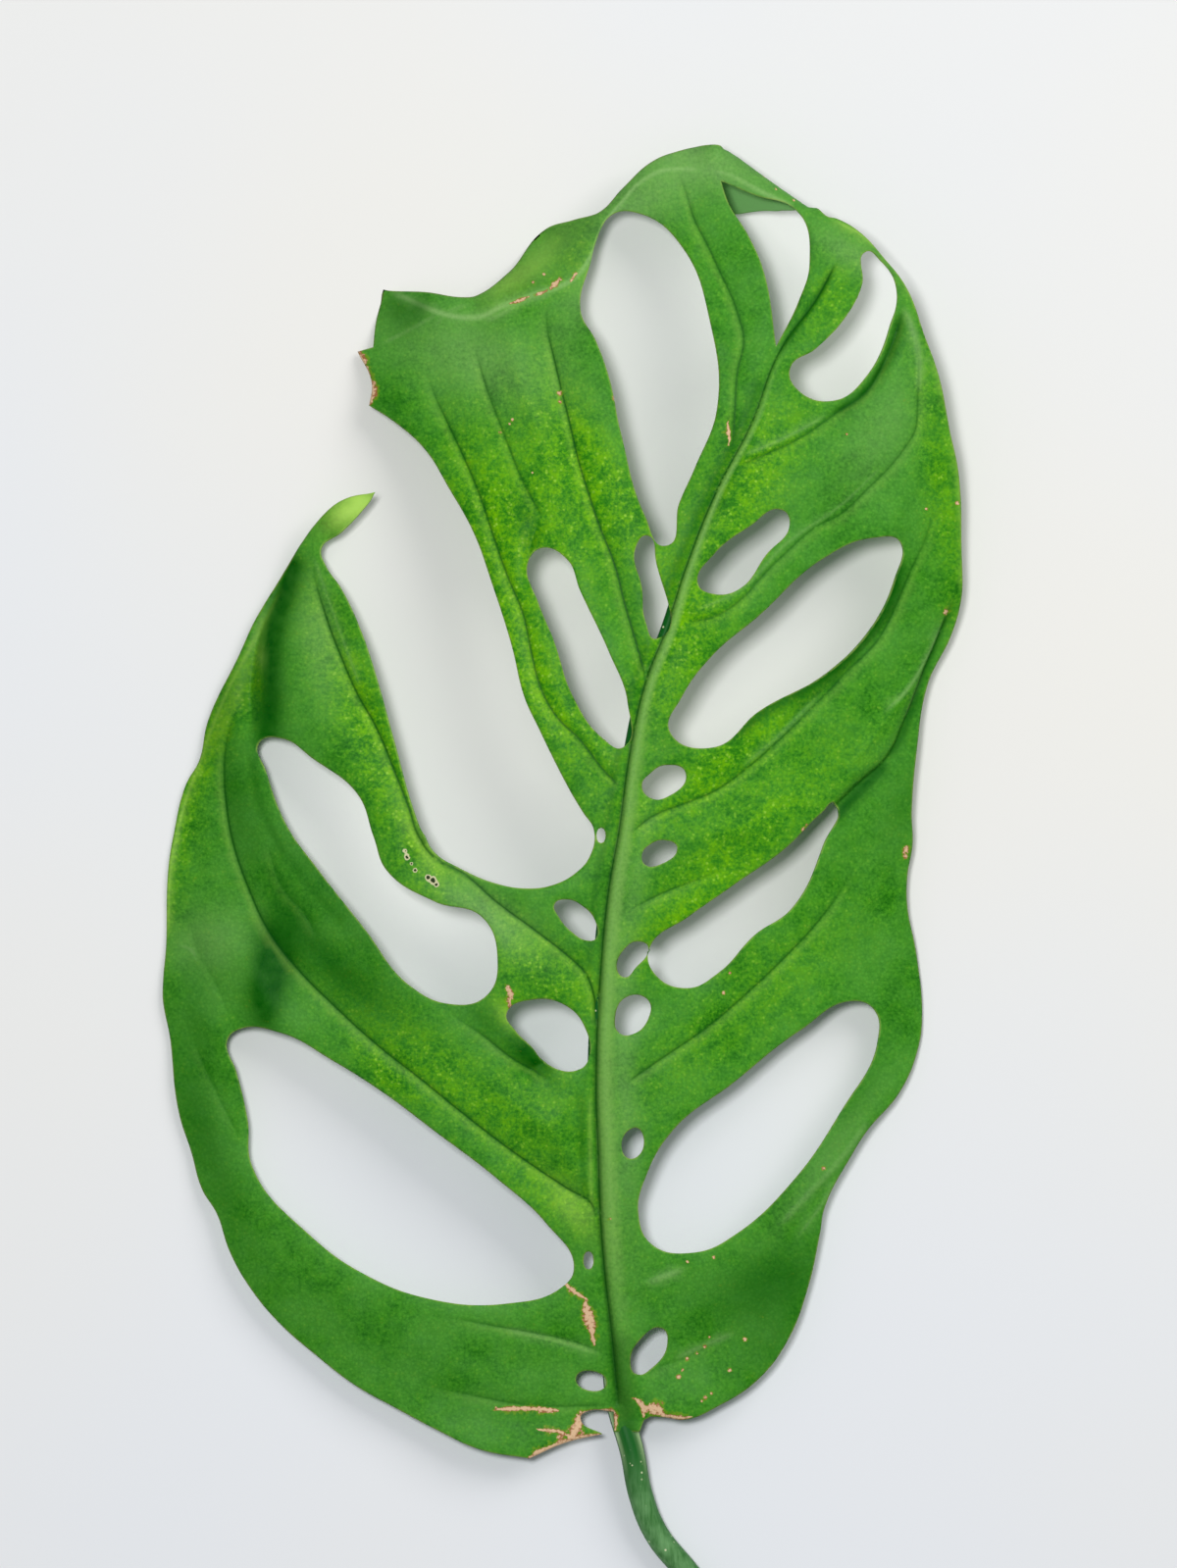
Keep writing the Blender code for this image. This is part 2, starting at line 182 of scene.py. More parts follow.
MIDRIB: Route = (
    (-2.5, 4), (-4, 20), (-5.5, 33), (-6.5, 46), (-7, 60.5), (-7.5, 75), (-6.5, 101), (-4.5, 121),
    (-2.5, 132), (0, 150), (3.5, 166), (8, 177.5), (12.5, 191.5), (19.5, 209), (27.5, 224.5),
    (32.5, 238), (36, 244), (41, 250.5), (46.5, 260.5),
)
CREASE: Route = (
    (-55.5, 255), (-35, 248), (-27, 251), (-22, 253), (-13, 256.5), (-9, 261.5), (-5.5, 270),
    (-2, 274), (1, 277.5), (4, 279.5), (7.5, 281), (18.5, 281),
)


@dataclass(frozen=True)
class Furrow:
    """A line sunk into the blade, or raised where its depth is negative.

    Attributes:
        route: where it runs on the flat blade.
        depth: how deep its middle lies.
        left: how far its left slope reaches, seen along the route.
        right: how far its right slope reaches.
        line: how strongly painted shade shows along it as a dark line.
        start: how far its depth grows from the route's start.
        end: how far its depth fades before the route's end.
    """

    route: Route
    depth: float
    left: float
    right: float
    line: float = 0.0
    start: float = 5.0
    end: float = 14.0


VEINS: tuple[Furrow, ...] = (
    Furrow(((-5, 3.5), (-22, 3.5), (-36.5, 6), (-47, 8.5)), 0.35, 1.4, 1.2, 0.5),
    Furrow(((-6, 15.5), (-12.5, 18), (-22, 20), (-30.5, 21.5), (-43.5, 24)), 0.5, 1.6, 1.4, 0.6),
    Furrow(
        ((-7.5, 46), (-8.5, 49), (-14, 52.5), (-26.5, 61), (-37, 69), (-47.5, 77.5), (-56.5, 84.5),
         (-66.5, 93.5), (-75, 102), (-81.5, 110.5), (-86, 120), (-89.5, 130), (-91, 138),
         (-91.5, 147.5), (-90.5, 154.5), (-87.5, 164)), 0.9, 2.4, 1.8, 1.0, 3, 26,
    ),
    Furrow(((-18, 77), (-26.5, 82), (-33.5, 87.5), (-40.5, 92)), 0.45, 1.4, 1.0, 0.85),
    Furrow(((-81.4, 130), (-78, 120), (-72.8, 114), (-69.9, 108)), 0.35, 1.6, 1.6, 0.3, 4, 4),
    Furrow(((-99, 112), (-97.5, 106), (-93, 98), (-90, 91)), 0.35, 1.8, 1.8, 0.15, 5, 5),
    Furrow(((-98.5, 86), (-94, 76), (-87.5, 63)), 0.3, 1.4, 1.4, 0.22, 5, 5),
    Furrow(
        ((-7.5, 89), (-8, 96), (-10, 101), (-13.5, 104.5), (-20.5, 110), (-30, 117), (-37, 123),
         (-43.5, 126.5), (-47.5, 131.5), (-49.5, 137.5), (-52, 144), (-57.5, 157), (-61, 163),
         (-65, 172), (-68.5, 181), (-71, 190), (-71.5, 196)), 0.9, 2.2, 1.8, 1.0, 3, 18,
    ),
    Furrow(
        ((-2, 142.5), (-6, 146.5), (-11, 153), (-16.5, 158.5), (-20, 165), (-22, 172.5),
         (-24, 181.5), (-27.5, 190), (-31, 200), (-33.5, 207.5), (-37, 216), (-40.5, 223.5),
         (-43.5, 230), (-46, 237)), 0.75, 2.0, 1.6, 0.9, 3, 16,
    ),
    Furrow(
        ((-19.5, 203), (-23.3, 209.7), (-26, 216), (-28.5, 222.6), (-31, 229), (-33, 235),
         (-35, 243)), 0.45, 1.8, 1.4, 0.7, 3, 10,
    ),
    Furrow(
        ((3.5, 167), (1.5, 174.5), (-1, 183), (-3.5, 192.5), (-7, 201.5), (-9.5, 209),
         (-11.5, 215.5), (-14, 226), (-15.5, 232), (-17, 238.5), (-18.5, 245.5), (-18.5, 252)),
        0.9, 2.2, 1.8, 1.0, 3, 14,
    ),
    Furrow(
        ((23, 218.5), (23.5, 227), (24, 235), (25.5, 243), (24.5, 247.5), (23, 252), (20, 258.5),
         (17.5, 264), (14.5, 270), (12.5, 276.5), (10.5, 281.5)), 0.6, 1.8, 1.6, 0.8, 3, 12,
    ),
    Furrow(
        ((24.5, 214.5), (30.5, 217), (37, 220), (42.5, 223.5), (46.5, 226.5), (53, 231),
         (57, 237.5), (60.5, 246.5), (61.5, 252)), 0.6, 1.0, 1.8, 0.6, 3, 8,
    ),
    Furrow(
        ((12.5, 179.5), (18.5, 180.5), (25.5, 185), (29, 189), (35, 195), (42, 201), (47, 203.5),
         (53, 209), (58.5, 214.5), (62, 219), (64, 222.5), (64.5, 230), (64.5, 239.5),
         (63.5, 247)), 0.45, 1.6, 1.6, 0.6, 3, 24,
    ),
    Furrow(
        ((0.5, 132.5), (5, 136), (12.5, 139), (19.5, 142), (26.5, 147), (34, 153.5), (40, 159),
         (49, 168), (57, 176.5), (62.5, 189.5), (67, 200), (69, 210)), 0.5, 1.6, 1.8, 0.75, 3, 26,
    ),
    Furrow(((0.5, 115.5), (7.5, 119), (14, 121.5), (21.5, 124.5)), 0.4, 1.4, 1.4, 0.7),
    Furrow(
        ((-0.5, 76.5), (7.5, 82), (17, 88.5), (26.5, 96.5), (36, 105.5), (42.5, 112.5),
         (47.5, 119.5), (50.5, 125.5)), 0.5, 1.6, 1.6, 0.8, 3, 16,
    ),
    Furrow(((0, 28), (3.5, 31), (8.5, 33), (14, 35)), -0.3, 1.2, 1.6, 0.0, 2, 8),
    Furrow(((3.5, 10), (7.5, 12.5), (12, 14), (19, 17.5), (23, 19.5)), 0.35, 1.4, 1.6, 0.25, 2, 8),
)

FOLDS: tuple[Furrow, ...] = (
    Furrow(((33, 155), (44, 164), (52, 172), (58.5, 180), (61.8, 188)), 1.3, 1.6, 3.4, 0.0, 10, 10),
    Furrow(
        ((45.5, 137.5), (51.5, 143), (58, 149), (62, 157), (66, 166.5), (70.5, 178), (73, 187)),
        1.7, 0.8, 3.6, 0.9, 3, 10,
    ),
    Furrow(((48.5, 146), (57, 157), (66, 170)), -0.7, 1.8, 1.8, 0.0, 6, 8),
    Furrow(((-74.8, 197), (-80.5, 186.5), (-84, 178), (-85.8, 170), (-86.3, 162), (-85.5, 153)),
           2.4, 5.5, 2.2, 0.0, 12, 8),
    Furrow(((-50, 127), (-47, 131), (-46, 137)), 1.0, 1.6, 1.2, 0.0, 2, 4),
    Furrow(((54, 231), (58, 239.5), (60.5, 249)), 1.1, 1.0, 2.2, 0.3, 4, 4),
    Furrow(((33, 43), (40, 51), (48, 60), (56, 72)), -0.6, 1.8, 1.8, 0.0, 8, 10),
    Furrow(((64, 228), (64.5, 240), (62, 251)), -0.6, 1.4, 1.4, 0.0, 6, 6),
    Furrow(((-71, 199), (-64, 203), (-57.5, 209)), 0.8, 2.2, 2.2, 0.0, 3, 2),
    Furrow(((-25, 77), (-21, 80), (-17, 81)), 1.2, 2.0, 2.6, 0.0, 3, 3),
    Furrow(((-23, 186), (-22.5, 196), (-20, 203)), 0.8, 1.6, 1.6, 0.0, 3, 3),
)


class Mark(Enum):
    """What a patch or a streak changes on the blade; each is an attribute of its mesh."""

    WARM = "warm"
    # Painted shade on slopes turned from the light, in valleys and under folds; in places darker green.
    PAINTED_SHADE_AND_DARK_GREEN = "deep"
    # Pale tissue, and painted sheen and highlights on crests, ridges and the crease.
    PALE_AND_PAINTED_SHEEN = "pale"
    SCAR = "scar"
    PIT = "pit"
    # Painted highlights and glow on lit crests and slopes, and yellowish margins.
    PAINTED_HIGHLIGHT_AND_YELLOW_EDGE = "bright"


@dataclass(frozen=True)
class Patch:
    """A soft oval patch on the blade.

    Attributes:
        mark: what it changes.
        x: its middle across the blade.
        y: its middle up the blade.
        length: its reach along its own axis.
        width: its reach across that axis.
        degrees: how far its axis is turned from +X.
        strength: how strong it is in its middle.
    """

    mark: Mark
    x: float
    y: float
    length: float
    width: float
    degrees: float = 0.0
    strength: float = 1.0


@dataclass(frozen=True)
class Streak:
    """A mark along a line.

    Attributes:
        mark: what it changes.
        route: where it runs.
        width: how far it reaches to each side.
        strength: how strong it is along its middle; a scar is always full there.
    """

    mark: Mark
    route: Route
    width: float
    strength: float = 1.0


def patches(mark: Mark, *rows: tuple[float, ...]) -> tuple[Patch, ...]:
    """Patches of one kind, from rows of x, y, length, width, degrees and strength."""
    return tuple(Patch(mark, *row) for row in rows)


def streaks(mark: Mark, *rows: tuple[Any, ...]) -> tuple[Streak, ...]:
    """Streaks of one kind, from rows of route, width and strength."""
    return tuple(Streak(mark, *row) for row in rows)


PATCHES: tuple[Patch, ...] = (
    *patches(
        Mark.WARM,
        (-27, 200, 24, 11, 115, 1.0), (-12, 212, 22, 8, 112, 1.0), (-28, 178, 24, 5, 110, 0.9),
        (-14, 158, 20, 6, 118, 0.8), (-1, 205, 24, 4, 118, 0.7), (-58, 154, 30, 6, 112, 1.0),
        (-83.4, 165, 6, 1.6, 92, 0.8), (-46, 125, 9, 5, 130, 0.6), (-22, 104, 16, 6, 140, 0.8),
        (-44, 80, 26, 7, 140, 0.6), (-20, 70, 14, 12, 120, 0.4), (-54, 78, 9, 3, 140, 0.8),
        (-15, 50, 12, 5, 150, 0.6), (-26, 92, 5, 3.5, 120, 0.8), (-100, 140, 30, 4, 80, 0.6),
        (-91, 159, 18, 3.2, 66, 0.9), (12, 175, 24, 8, 62, 0.9), (26, 212, 20, 8, 55, 0.9),
        (45, 252, 12, 6, 60, 0.5), (20, 148, 26, 7, 40, 0.9), (26, 132, 34, 7, 40, 0.7),
        (14, 112, 22, 6, 35, 0.7), (26, 94, 32, 9, 42, 0.4), (70, 210, 34, 4, 98, 0.6),
        (-10, 262, 10, 5, 45, 0.5), (8, 240, 8, 30, 0, 0.3),
    ),
    # Painted shade on flanks and slopes turned from the light and in valleys; in places darker green.
    *patches(
        Mark.PAINTED_SHADE_AND_DARK_GREEN,
        (-81.3, 98, 12, 4.2, 86, 1.3), (-78, 107, 8, 5, 110, 0.6), (-74, 113, 20, 4, 122, 0.5),
        (-80.3, 157, 8, 3.4, 92, 0.75), (-61, 98, 14, 4.5, 135, 0.6), (-88, 138, 16, 4, 100, 0.4),
        (-89.5, 163, 20, 5, 64, 0.4), (-68, 120, 26, 4, 128, 0.5), (-95, 62, 30, 5, 112, 0.55),
        (-97, 92, 20, 5, 95, 0.4), (-21.8, 82.3, 5.5, 3, 135, 1.0), (-32, 90, 14, 3, 138, 0.45),
        (-22.5, 200, 8, 2.2, 100, 0.5), (-47, 214, 26, 5, 118, 0.3), (32, 31, 17, 8, 20, 0.75),
        (33, 18, 12, 6, 45, 0.4), (52.5, 142.5, 6, 2.2, 47, 0.8), (62, 140, 14, 5, 70, 0.3),
        (28, 168, 20, 3, 40, 0.3), (52, 78, 24, 5, 65, 0.3), (-52, 250, 6, 4, 100, 0.6),
        (-47, 250.5, 4, 2.5, 60, 0.5), (15, 228, 14, 2.5, 65, 0.5), (18, 206, 12, 2.5, 60, 0.5),
        (-52, 15, 40, 9, 152, 0.2),
    ),
    # Painted sheen on crests and broad slopes.
    *patches(
        Mark.PALE_AND_PAINTED_SHEEN,
        (-34, 239, 22, 9, 160, 0.3), (-70, 176, 14, 4.5, 102, 0.3), (-10, 254, 12, 6, 60, 0.25),
        (2, 275, 16, 8, 35, 0.35), (20, 282, 16, 6, -20, 0.35), (-1.5, 76, 36, 3.6, 92, 0.25),
        (1, 118, 26, 3, 82, 0.16), (-32, 114, 14, 5, 145, 0.4), (50, 262, 10, 4, -30, 0.3),
        (56, 222, 16, 7, 60, 0.2), (-95, 108, 10, 7, 10, 0.25), (45, 60, 18, 3, 55, 0.2),
    ),
    # Painted highlights on lit crests and slopes, and a painted glow on the upper-left piece.
    *patches(
        Mark.PAINTED_HIGHLIGHT_AND_YELLOW_EDGE,
        (-61.5, 206, 7, 3.4, 35, 1.1), (-22, 260, 11, 3.4, 48, 0.28), (-28, 256, 6, 2, 40, 0.2),
        (-90.5, 161, 14, 1.4, 66, 0.25), (-83.3, 172.2, 3, 1.3, 100, 0.45),
        (-83.6, 179.6, 2.6, 1.1, 72, 0.35), (-47, 130, 8, 2, 120, 0.3), (-13, 48, 8, 3, 130, 0.3),
        (-27, 91, 4, 2, 130, 0.4),
    ),
)

STREAKS: tuple[Streak, ...] = (
    # Painted highlights along crests, ridges and the crease, and pale lines along some veins.
    *streaks(
        Mark.PALE_AND_PAINTED_SHEEN,
        (CREASE, 0.8, 0.7),
        (((16, 281.3), (22, 280), (28, 276.8), (34, 274), (38.5, 272.6)), 0.7, 0.6),
        (((-57.6, 242), (-52, 244.5), (-46, 247.5), (-41, 250)), 0.7, 0.35),
        (((-45, 243), (-41, 249), (-34, 251)), 0.8, 0.3),
        (((-35, 246.5), (-29, 248.5), (-24, 251.5), (-15, 254)), 0.9, 0.4),
        (((2, 270), (6, 276), (10, 280)), 0.6, 0.3),
        (((12, 270), (14, 276), (15, 281)), 0.6, 0.25),
        (((-96.5, 101), (-99, 106), (-104, 107)), 0.6, 0.4),
        (((-71.8, 196), (-66, 180), (-60, 164)), 0.6, 0.25),
        (((33, 43), (40, 51), (48, 60), (54, 69)), 0.9, 0.35),
        (((37, 40), (44, 50), (47, 56)), 0.6, 0.3),
        (((2.5, 30.5), (8.5, 33), (14, 35)), 0.9, 0.5),
        (((24.5, 146.5), (34, 154.5), (44, 164)), 0.6, 0.25),
        (((56.3, 158.8), (62.5, 165), (66.9, 171.5), (70.5, 180)), 0.45, 0.45),
        (((61.2, 156.5), (64.2, 162.5), (67.4, 170)), 0.4, 0.45),
        (((-6, 15), (-20, 19), (-30, 21)), 0.7, 0.3),
        (((9, 13.5), (19, 18), (25, 20.5)), 0.7, 0.4),
        (((64.5, 229), (64.6, 240), (61, 251)), 0.9, 0.45),
        (((13.5, 181.5), (25, 187), (35, 197), (47, 205.5), (58, 216)), 0.5, 0.25),
        (((24.5, 216.5), (31, 219), (40, 223.5), (45, 226.5)), 0.5, 0.35),
        (((-70, 192), (-66.5, 194.5), (-65, 197)), 0.5, 0.4),
    ),
    # Painted highlights along the margins over their yellowish edge, and beside the midrib.
    *streaks(
        Mark.PAINTED_HIGHLIGHT_AND_YELLOW_EDGE,
        (((44, 270.5), (55, 264), (62.5, 254), (67.5, 241)), 0.5, 0.45),
        (((67, 243), (72.3, 222), (74.3, 205), (74.6, 185)), 0.45, 0.3),
        (((-8.2, 41), (-8.8, 60), (-8.8, 75)), 0.45, 0.25),
        (((-78, 190), (-90, 166), (-97, 148), (-103, 128), (-104.3, 108)), 0.6, 0.4),
    ),
    # Painted shade under folds, in grooves and valleys, along the midrib and down the left flank.
    *streaks(
        Mark.PAINTED_SHADE_AND_DARK_GREEN,
        (((60.8, 196), (59, 185.5), (53.7, 177), (46.3, 169.4), (34, 161.5)), 1.9, 1.0),
        (((44, 168.5), (38, 163.8), (30.8, 159.8), (20, 152)), 1.5, 0.85),
        (((43.6, 225.5), (49.5, 228.3), (55.4, 234.5), (59.6, 242), (61, 250)), 1.2, 0.95),
        (((44, 133), (47.5, 137), (53.3, 142.8), (60, 149.5)), 1.3, 1.1),
        (((57, 147), (61, 153), (64, 160), (66.5, 167)), 1.0, 0.8),
        (((63.2, 159), (66.5, 167), (70, 176), (73, 185)), 0.8, 0.7),
        (((-9.8, 50), (-10.6, 62), (-10.8, 76)), 1.0, 0.45),
        (((-9, 100), (-7.4, 121), (-5, 133), (-2.6, 150), (1, 166), (5.5, 178)), 1.0, 0.4),
        (((5.5, 178), (10.5, 192), (17, 208), (25, 223), (30, 236)), 1.5, 0.55),
        (((33.7, 243), (37.6, 251), (39.8, 259), (40, 270)), 0.8, 0.6),
        (((32.5, 238.5), (39.6, 248.6), (44, 255.5), (46, 260)), 0.9, 0.8),
        (((-74.5, 197), (-78.6, 186), (-80.4, 177), (-81, 167), (-81.5, 146)), 3.4, 1.15),
        (((-85, 153), (-83.8, 142), (-80, 132), (-73, 122), (-62, 110)), 1.6, 0.6),
    ),
    *streaks(
        Mark.SCAR,
        (((-29.5, 2.6), (-22, 2.7), (-16, 2.2)), 0.5),
        (((-14.8, 31.3), (-12.3, 29.2), (-9.8, 27.8)), 0.5),
        (((-9.9, 26.8), (-9, 23), (-8.2, 20)), 1.15),
        (((-8.6, 20), (-7.8, 17.2)), 0.55),
        (((-22.5, -8.3), (-17, -6), (-12, -4.4), (-6.5, -3.3)), 0.9),
        (((-13.4, -3.8), (-12, -1.7), (-11, 0.4), (-9, 2)), 1.1),
        (((-20.5, -2), (-16.5, -2.3), (-13.5, -3.4)), 0.45),
        (((-9.5, 2.1), (-6.5, 2.2), (-3.6, 2), (-3.3, -2.2)), 0.35),
        (((1.2, 5.2), (3, 3.6), (3.2, 1)), 0.6),
        (((3.6, 3), (6, 2.8), (7.6, 1.8)), 1.4),
        (((7.6, 1.3), (11, 0.9), (14, 1.2)), 0.4),
        (((-61.4, 241), (-60, 236.5), (-58.2, 232.5), (-58.3, 229)), 1.25),
    ),
    # Painted shade down the left flank, and darker green at the midrib's foot towards the petiole.
    *streaks(
        Mark.PAINTED_SHADE_AND_DARK_GREEN,
        (((1, -12), (-0.5, 0), (-1.5, 9), (-3, 22)), 2.6, 0.75),
        (((-77, 192), (-82.5, 180), (-84.3, 168), (-83.6, 152)), 1.5, 0.65),
    ),
    *streaks(
        Mark.SCAR,
        (((-27, 98), (-26.6, 96), (-26.8, 94.2)), 0.3),
        (((-26.9, 94.6), (-26.6, 92.6)), 0.6),
        (((-26.8, 251), (-22.5, 252.7)), 0.35),
        (((-21.5, 253), (-18.6, 254)), 0.45),
        (((-17.6, 254.6), (-15.8, 256.6)), 0.75),
        (((-13.2, 256.2), (-12, 258.2)), 0.5),
        (((21.8, 224), (22.2, 221), (22.2, 219)), 0.35),
    ),
)

# Dry specks and eaten pits, each with its place and its size.
SPECKS: Route = (
    (21, 96.5, 0.45), (22.5, 101, 0.3), (13, 36, 0.4), (19, 37, 0.35), (13, 14, 0.45),
    (15.2, 15.2, 0.4), (17, 16.8, 0.35), (26, 18.5, 0.55), (22.5, 11.5, 0.5), (11, 10, 0.5),
    (12, 11.6, 0.3), (18, 19, 0.3), (17, 5.5, 0.4), (16.2, 4.7, 0.3), (18.4, 6.4, 0.3),
    (43.5, 57, 0.45), (73.5, 206.5, 0.55), (71, 182, 0.75), (62.5, 128.5, 0.85), (62.4, 127, 0.6),
    (-15.9, 231, 0.6), (-15.6, 229, 0.4), (-26.2, 224.9, 0.4), (-26.9, 224, 0.3),
    (-29.1, 222.1, 0.4), (-21.7, 213, 0.3), (-3.6, 229.5, 0.4), (-21.7, 256.2, 0.4),
    (-19.3, 258, 0.4), (38.5, 133.2, 0.5), (39.3, 134.2, 0.35), (31, 281, 0.4), (33, 277, 0.45),
    (37, 274.5, 0.35), (8, 199, 0.3), (-4.4, 46, 0.3), (48.5, 221.5, 0.3), (74, 225, 0.4),
    (66.5, 205, 0.3),
)
PITS: Route = (
    (-50.4, 128.3, 0.5), (-49.8, 126.9, 0.6), (-48.8, 125.5, 0.35), (-48, 124, 0.45),
    (-45.1, 122.4, 0.65), (-44, 121.8, 0.8), (-43.2, 120.8, 0.55),
)


def smooth_step(value: np.ndarray, low: float, high: float) -> np.ndarray:
    """Rises smoothly from 0 at low to 1 at high.

    Args:
        value: the numbers to judge.
        low: where the rise starts.
        high: where it ends.

    Returns:
        One number from 0 to 1 for each value.
    """
    share = np.clip((value - low) / (high - low), 0.0, 1.0)
    return share * share * (3.0 - 2.0 * share)


def smooth_line(route: Route, spacing: float, closed: bool) -> np.ndarray:
    """Points along a smooth line through the route's points, with its corners kept sharp.

    Args:
        route: the points that the line passes, each with a third value if it is a corner.
        spacing: about how far apart the new points lie.
        closed: whether the line returns to its start.

    Returns:
        The points as rows of x and y.
    """
    knots = np.array([point[:2] for point in route], dtype=float)
    sharp = np.array([len(point) > 2 and point[2] is SHARP for point in route])[:, None]
    before = np.roll(knots, 1, axis=0)
    after = np.roll(knots, -1, axis=0)
    if not closed:
        before[0] = 2.0 * knots[0] - knots[1]
        after[-1] = 2.0 * knots[-1] - knots[-2]
    length_in = np.linalg.norm(knots - before, axis=1, keepdims=True)
    length_out = np.linalg.norm(after - knots, axis=1, keepdims=True)
    tangent = (after - knots) / length_out + (knots - before) / length_in
    tangent /= np.linalg.norm(tangent, axis=1, keepdims=True) * HANDLE_SHARE
    handle_in = np.where(sharp, knots - (knots - before) / 3.0, knots - tangent * length_in)
    handle_out = np.where(sharp, knots + (after - knots) / 3.0, knots + tangent * length_out)
    rows = []
    for index in range(len(knots) if closed else len(knots) - 1):
        following = (index + 1) % len(knots)
        steps = max(2, math.ceil(float(length_out[index, 0]) / spacing))
        share = np.linspace(0.0, 1.0, steps, endpoint=False)[:, None]
        rest = 1.0 - share
        rows.append(
            rest**3 * knots[index]
            + 3.0 * rest**2 * share * handle_out[index]
            + 3.0 * rest * share**2 * handle_in[following]
            + share**3 * knots[following]
        )
    if not closed:
        rows.append(knots[-1:])
    return np.concatenate(rows)


def spot(away: np.ndarray, size: np.ndarray | float) -> np.ndarray:
    """A mark that is 1 in its middle, one half at its size and 0 at twice its size."""
    return np.clip(1.0 - 0.5 * away / size, 0.0, 1.0)


def along_line(points: np.ndarray, line: np.ndarray) -> tuple[np.ndarray, np.ndarray, np.ndarray]:
    """Where points lie beside a line.

    Args:
        points: rows of x and y.
        line: the line's own points, in order.

    Returns:
        How far each point lies from the line, above 0 to its left and below 0 to its right;
        how far along the line its nearest place is; and how far that is from the line's end.
    """
    nearest = np.full(len(points), np.inf)
    side = np.zeros(len(points))
    place = np.zeros(len(points))
    walked = 0.0
    for start, end in zip(line[:-1], line[1:], strict=True):
        length = float(np.linalg.norm(end - start))
        direction = (end - start) / length
        offset = points - start
        along = np.clip(offset @ direction, 0.0, length)
        away = np.linalg.norm(offset - along[:, None] * direction, axis=1)
        cross = direction[0] * offset[:, 1] - direction[1] * offset[:, 0]
        closer = away < nearest
        nearest = np.where(closer, away, nearest)
        side = np.where(closer, np.where(cross >= 0.0, away, -away), side)
        place = np.where(closer, walked + along, place)
        walked += length
    return side, place, walked - place


def inside_loops(points: np.ndarray, loops: list[np.ndarray]) -> np.ndarray:
    """Whether points lie within the first loop and outside all the others.

    Args:
        points: rows of x and y.
        loops: the outline and then the holes, each as rows of x and y.

    Returns:
        One truth value for each point.
    """
    crossings = np.zeros(len(points), dtype=int)
    x, y = points[:, 0], points[:, 1]
    for loop in loops:
        for (ax, ay), (bx, by) in zip(loop, np.roll(loop, -1, axis=0), strict=True):
            if ay == by:
                continue
            spans = (ay > y) != (by > y)
            crossings += spans & (x < ax + (y - ay) * (bx - ax) / (by - ay))
    return crossings % 2 == 1


def thinned(groups: list[tuple[np.ndarray, float]], cell: float) -> np.ndarray:
    """Leaves out each point that lies too near one that is kept already.

    Args:
        groups: sets of points with the least distance that each keeps, most wanted first.
        cell: the side of the squares that the search sorts the points into.

    Returns:
        The kept points as rows of x and y, those of the first set in their order.
    """
    kept: list[tuple[float, float]] = []
    squares: dict[tuple[int, int], list[tuple[float, float]]] = {}
    for points, least in groups:
        for x, y in points.tolist():
            column, row = math.floor(x / cell), math.floor(y / cell)
            close = False
            for near_column in (column - 1, column, column + 1):
                for near_row in (row - 1, row, row + 1):
                    for other_x, other_y in squares.get((near_column, near_row), ()):
                        if (x - other_x) ** 2 + (y - other_y) ** 2 < least * least:
                            close = True
            if not close:
                kept.append((x, y))
                squares.setdefault((column, row), []).append((x, y))
    return np.array(kept)


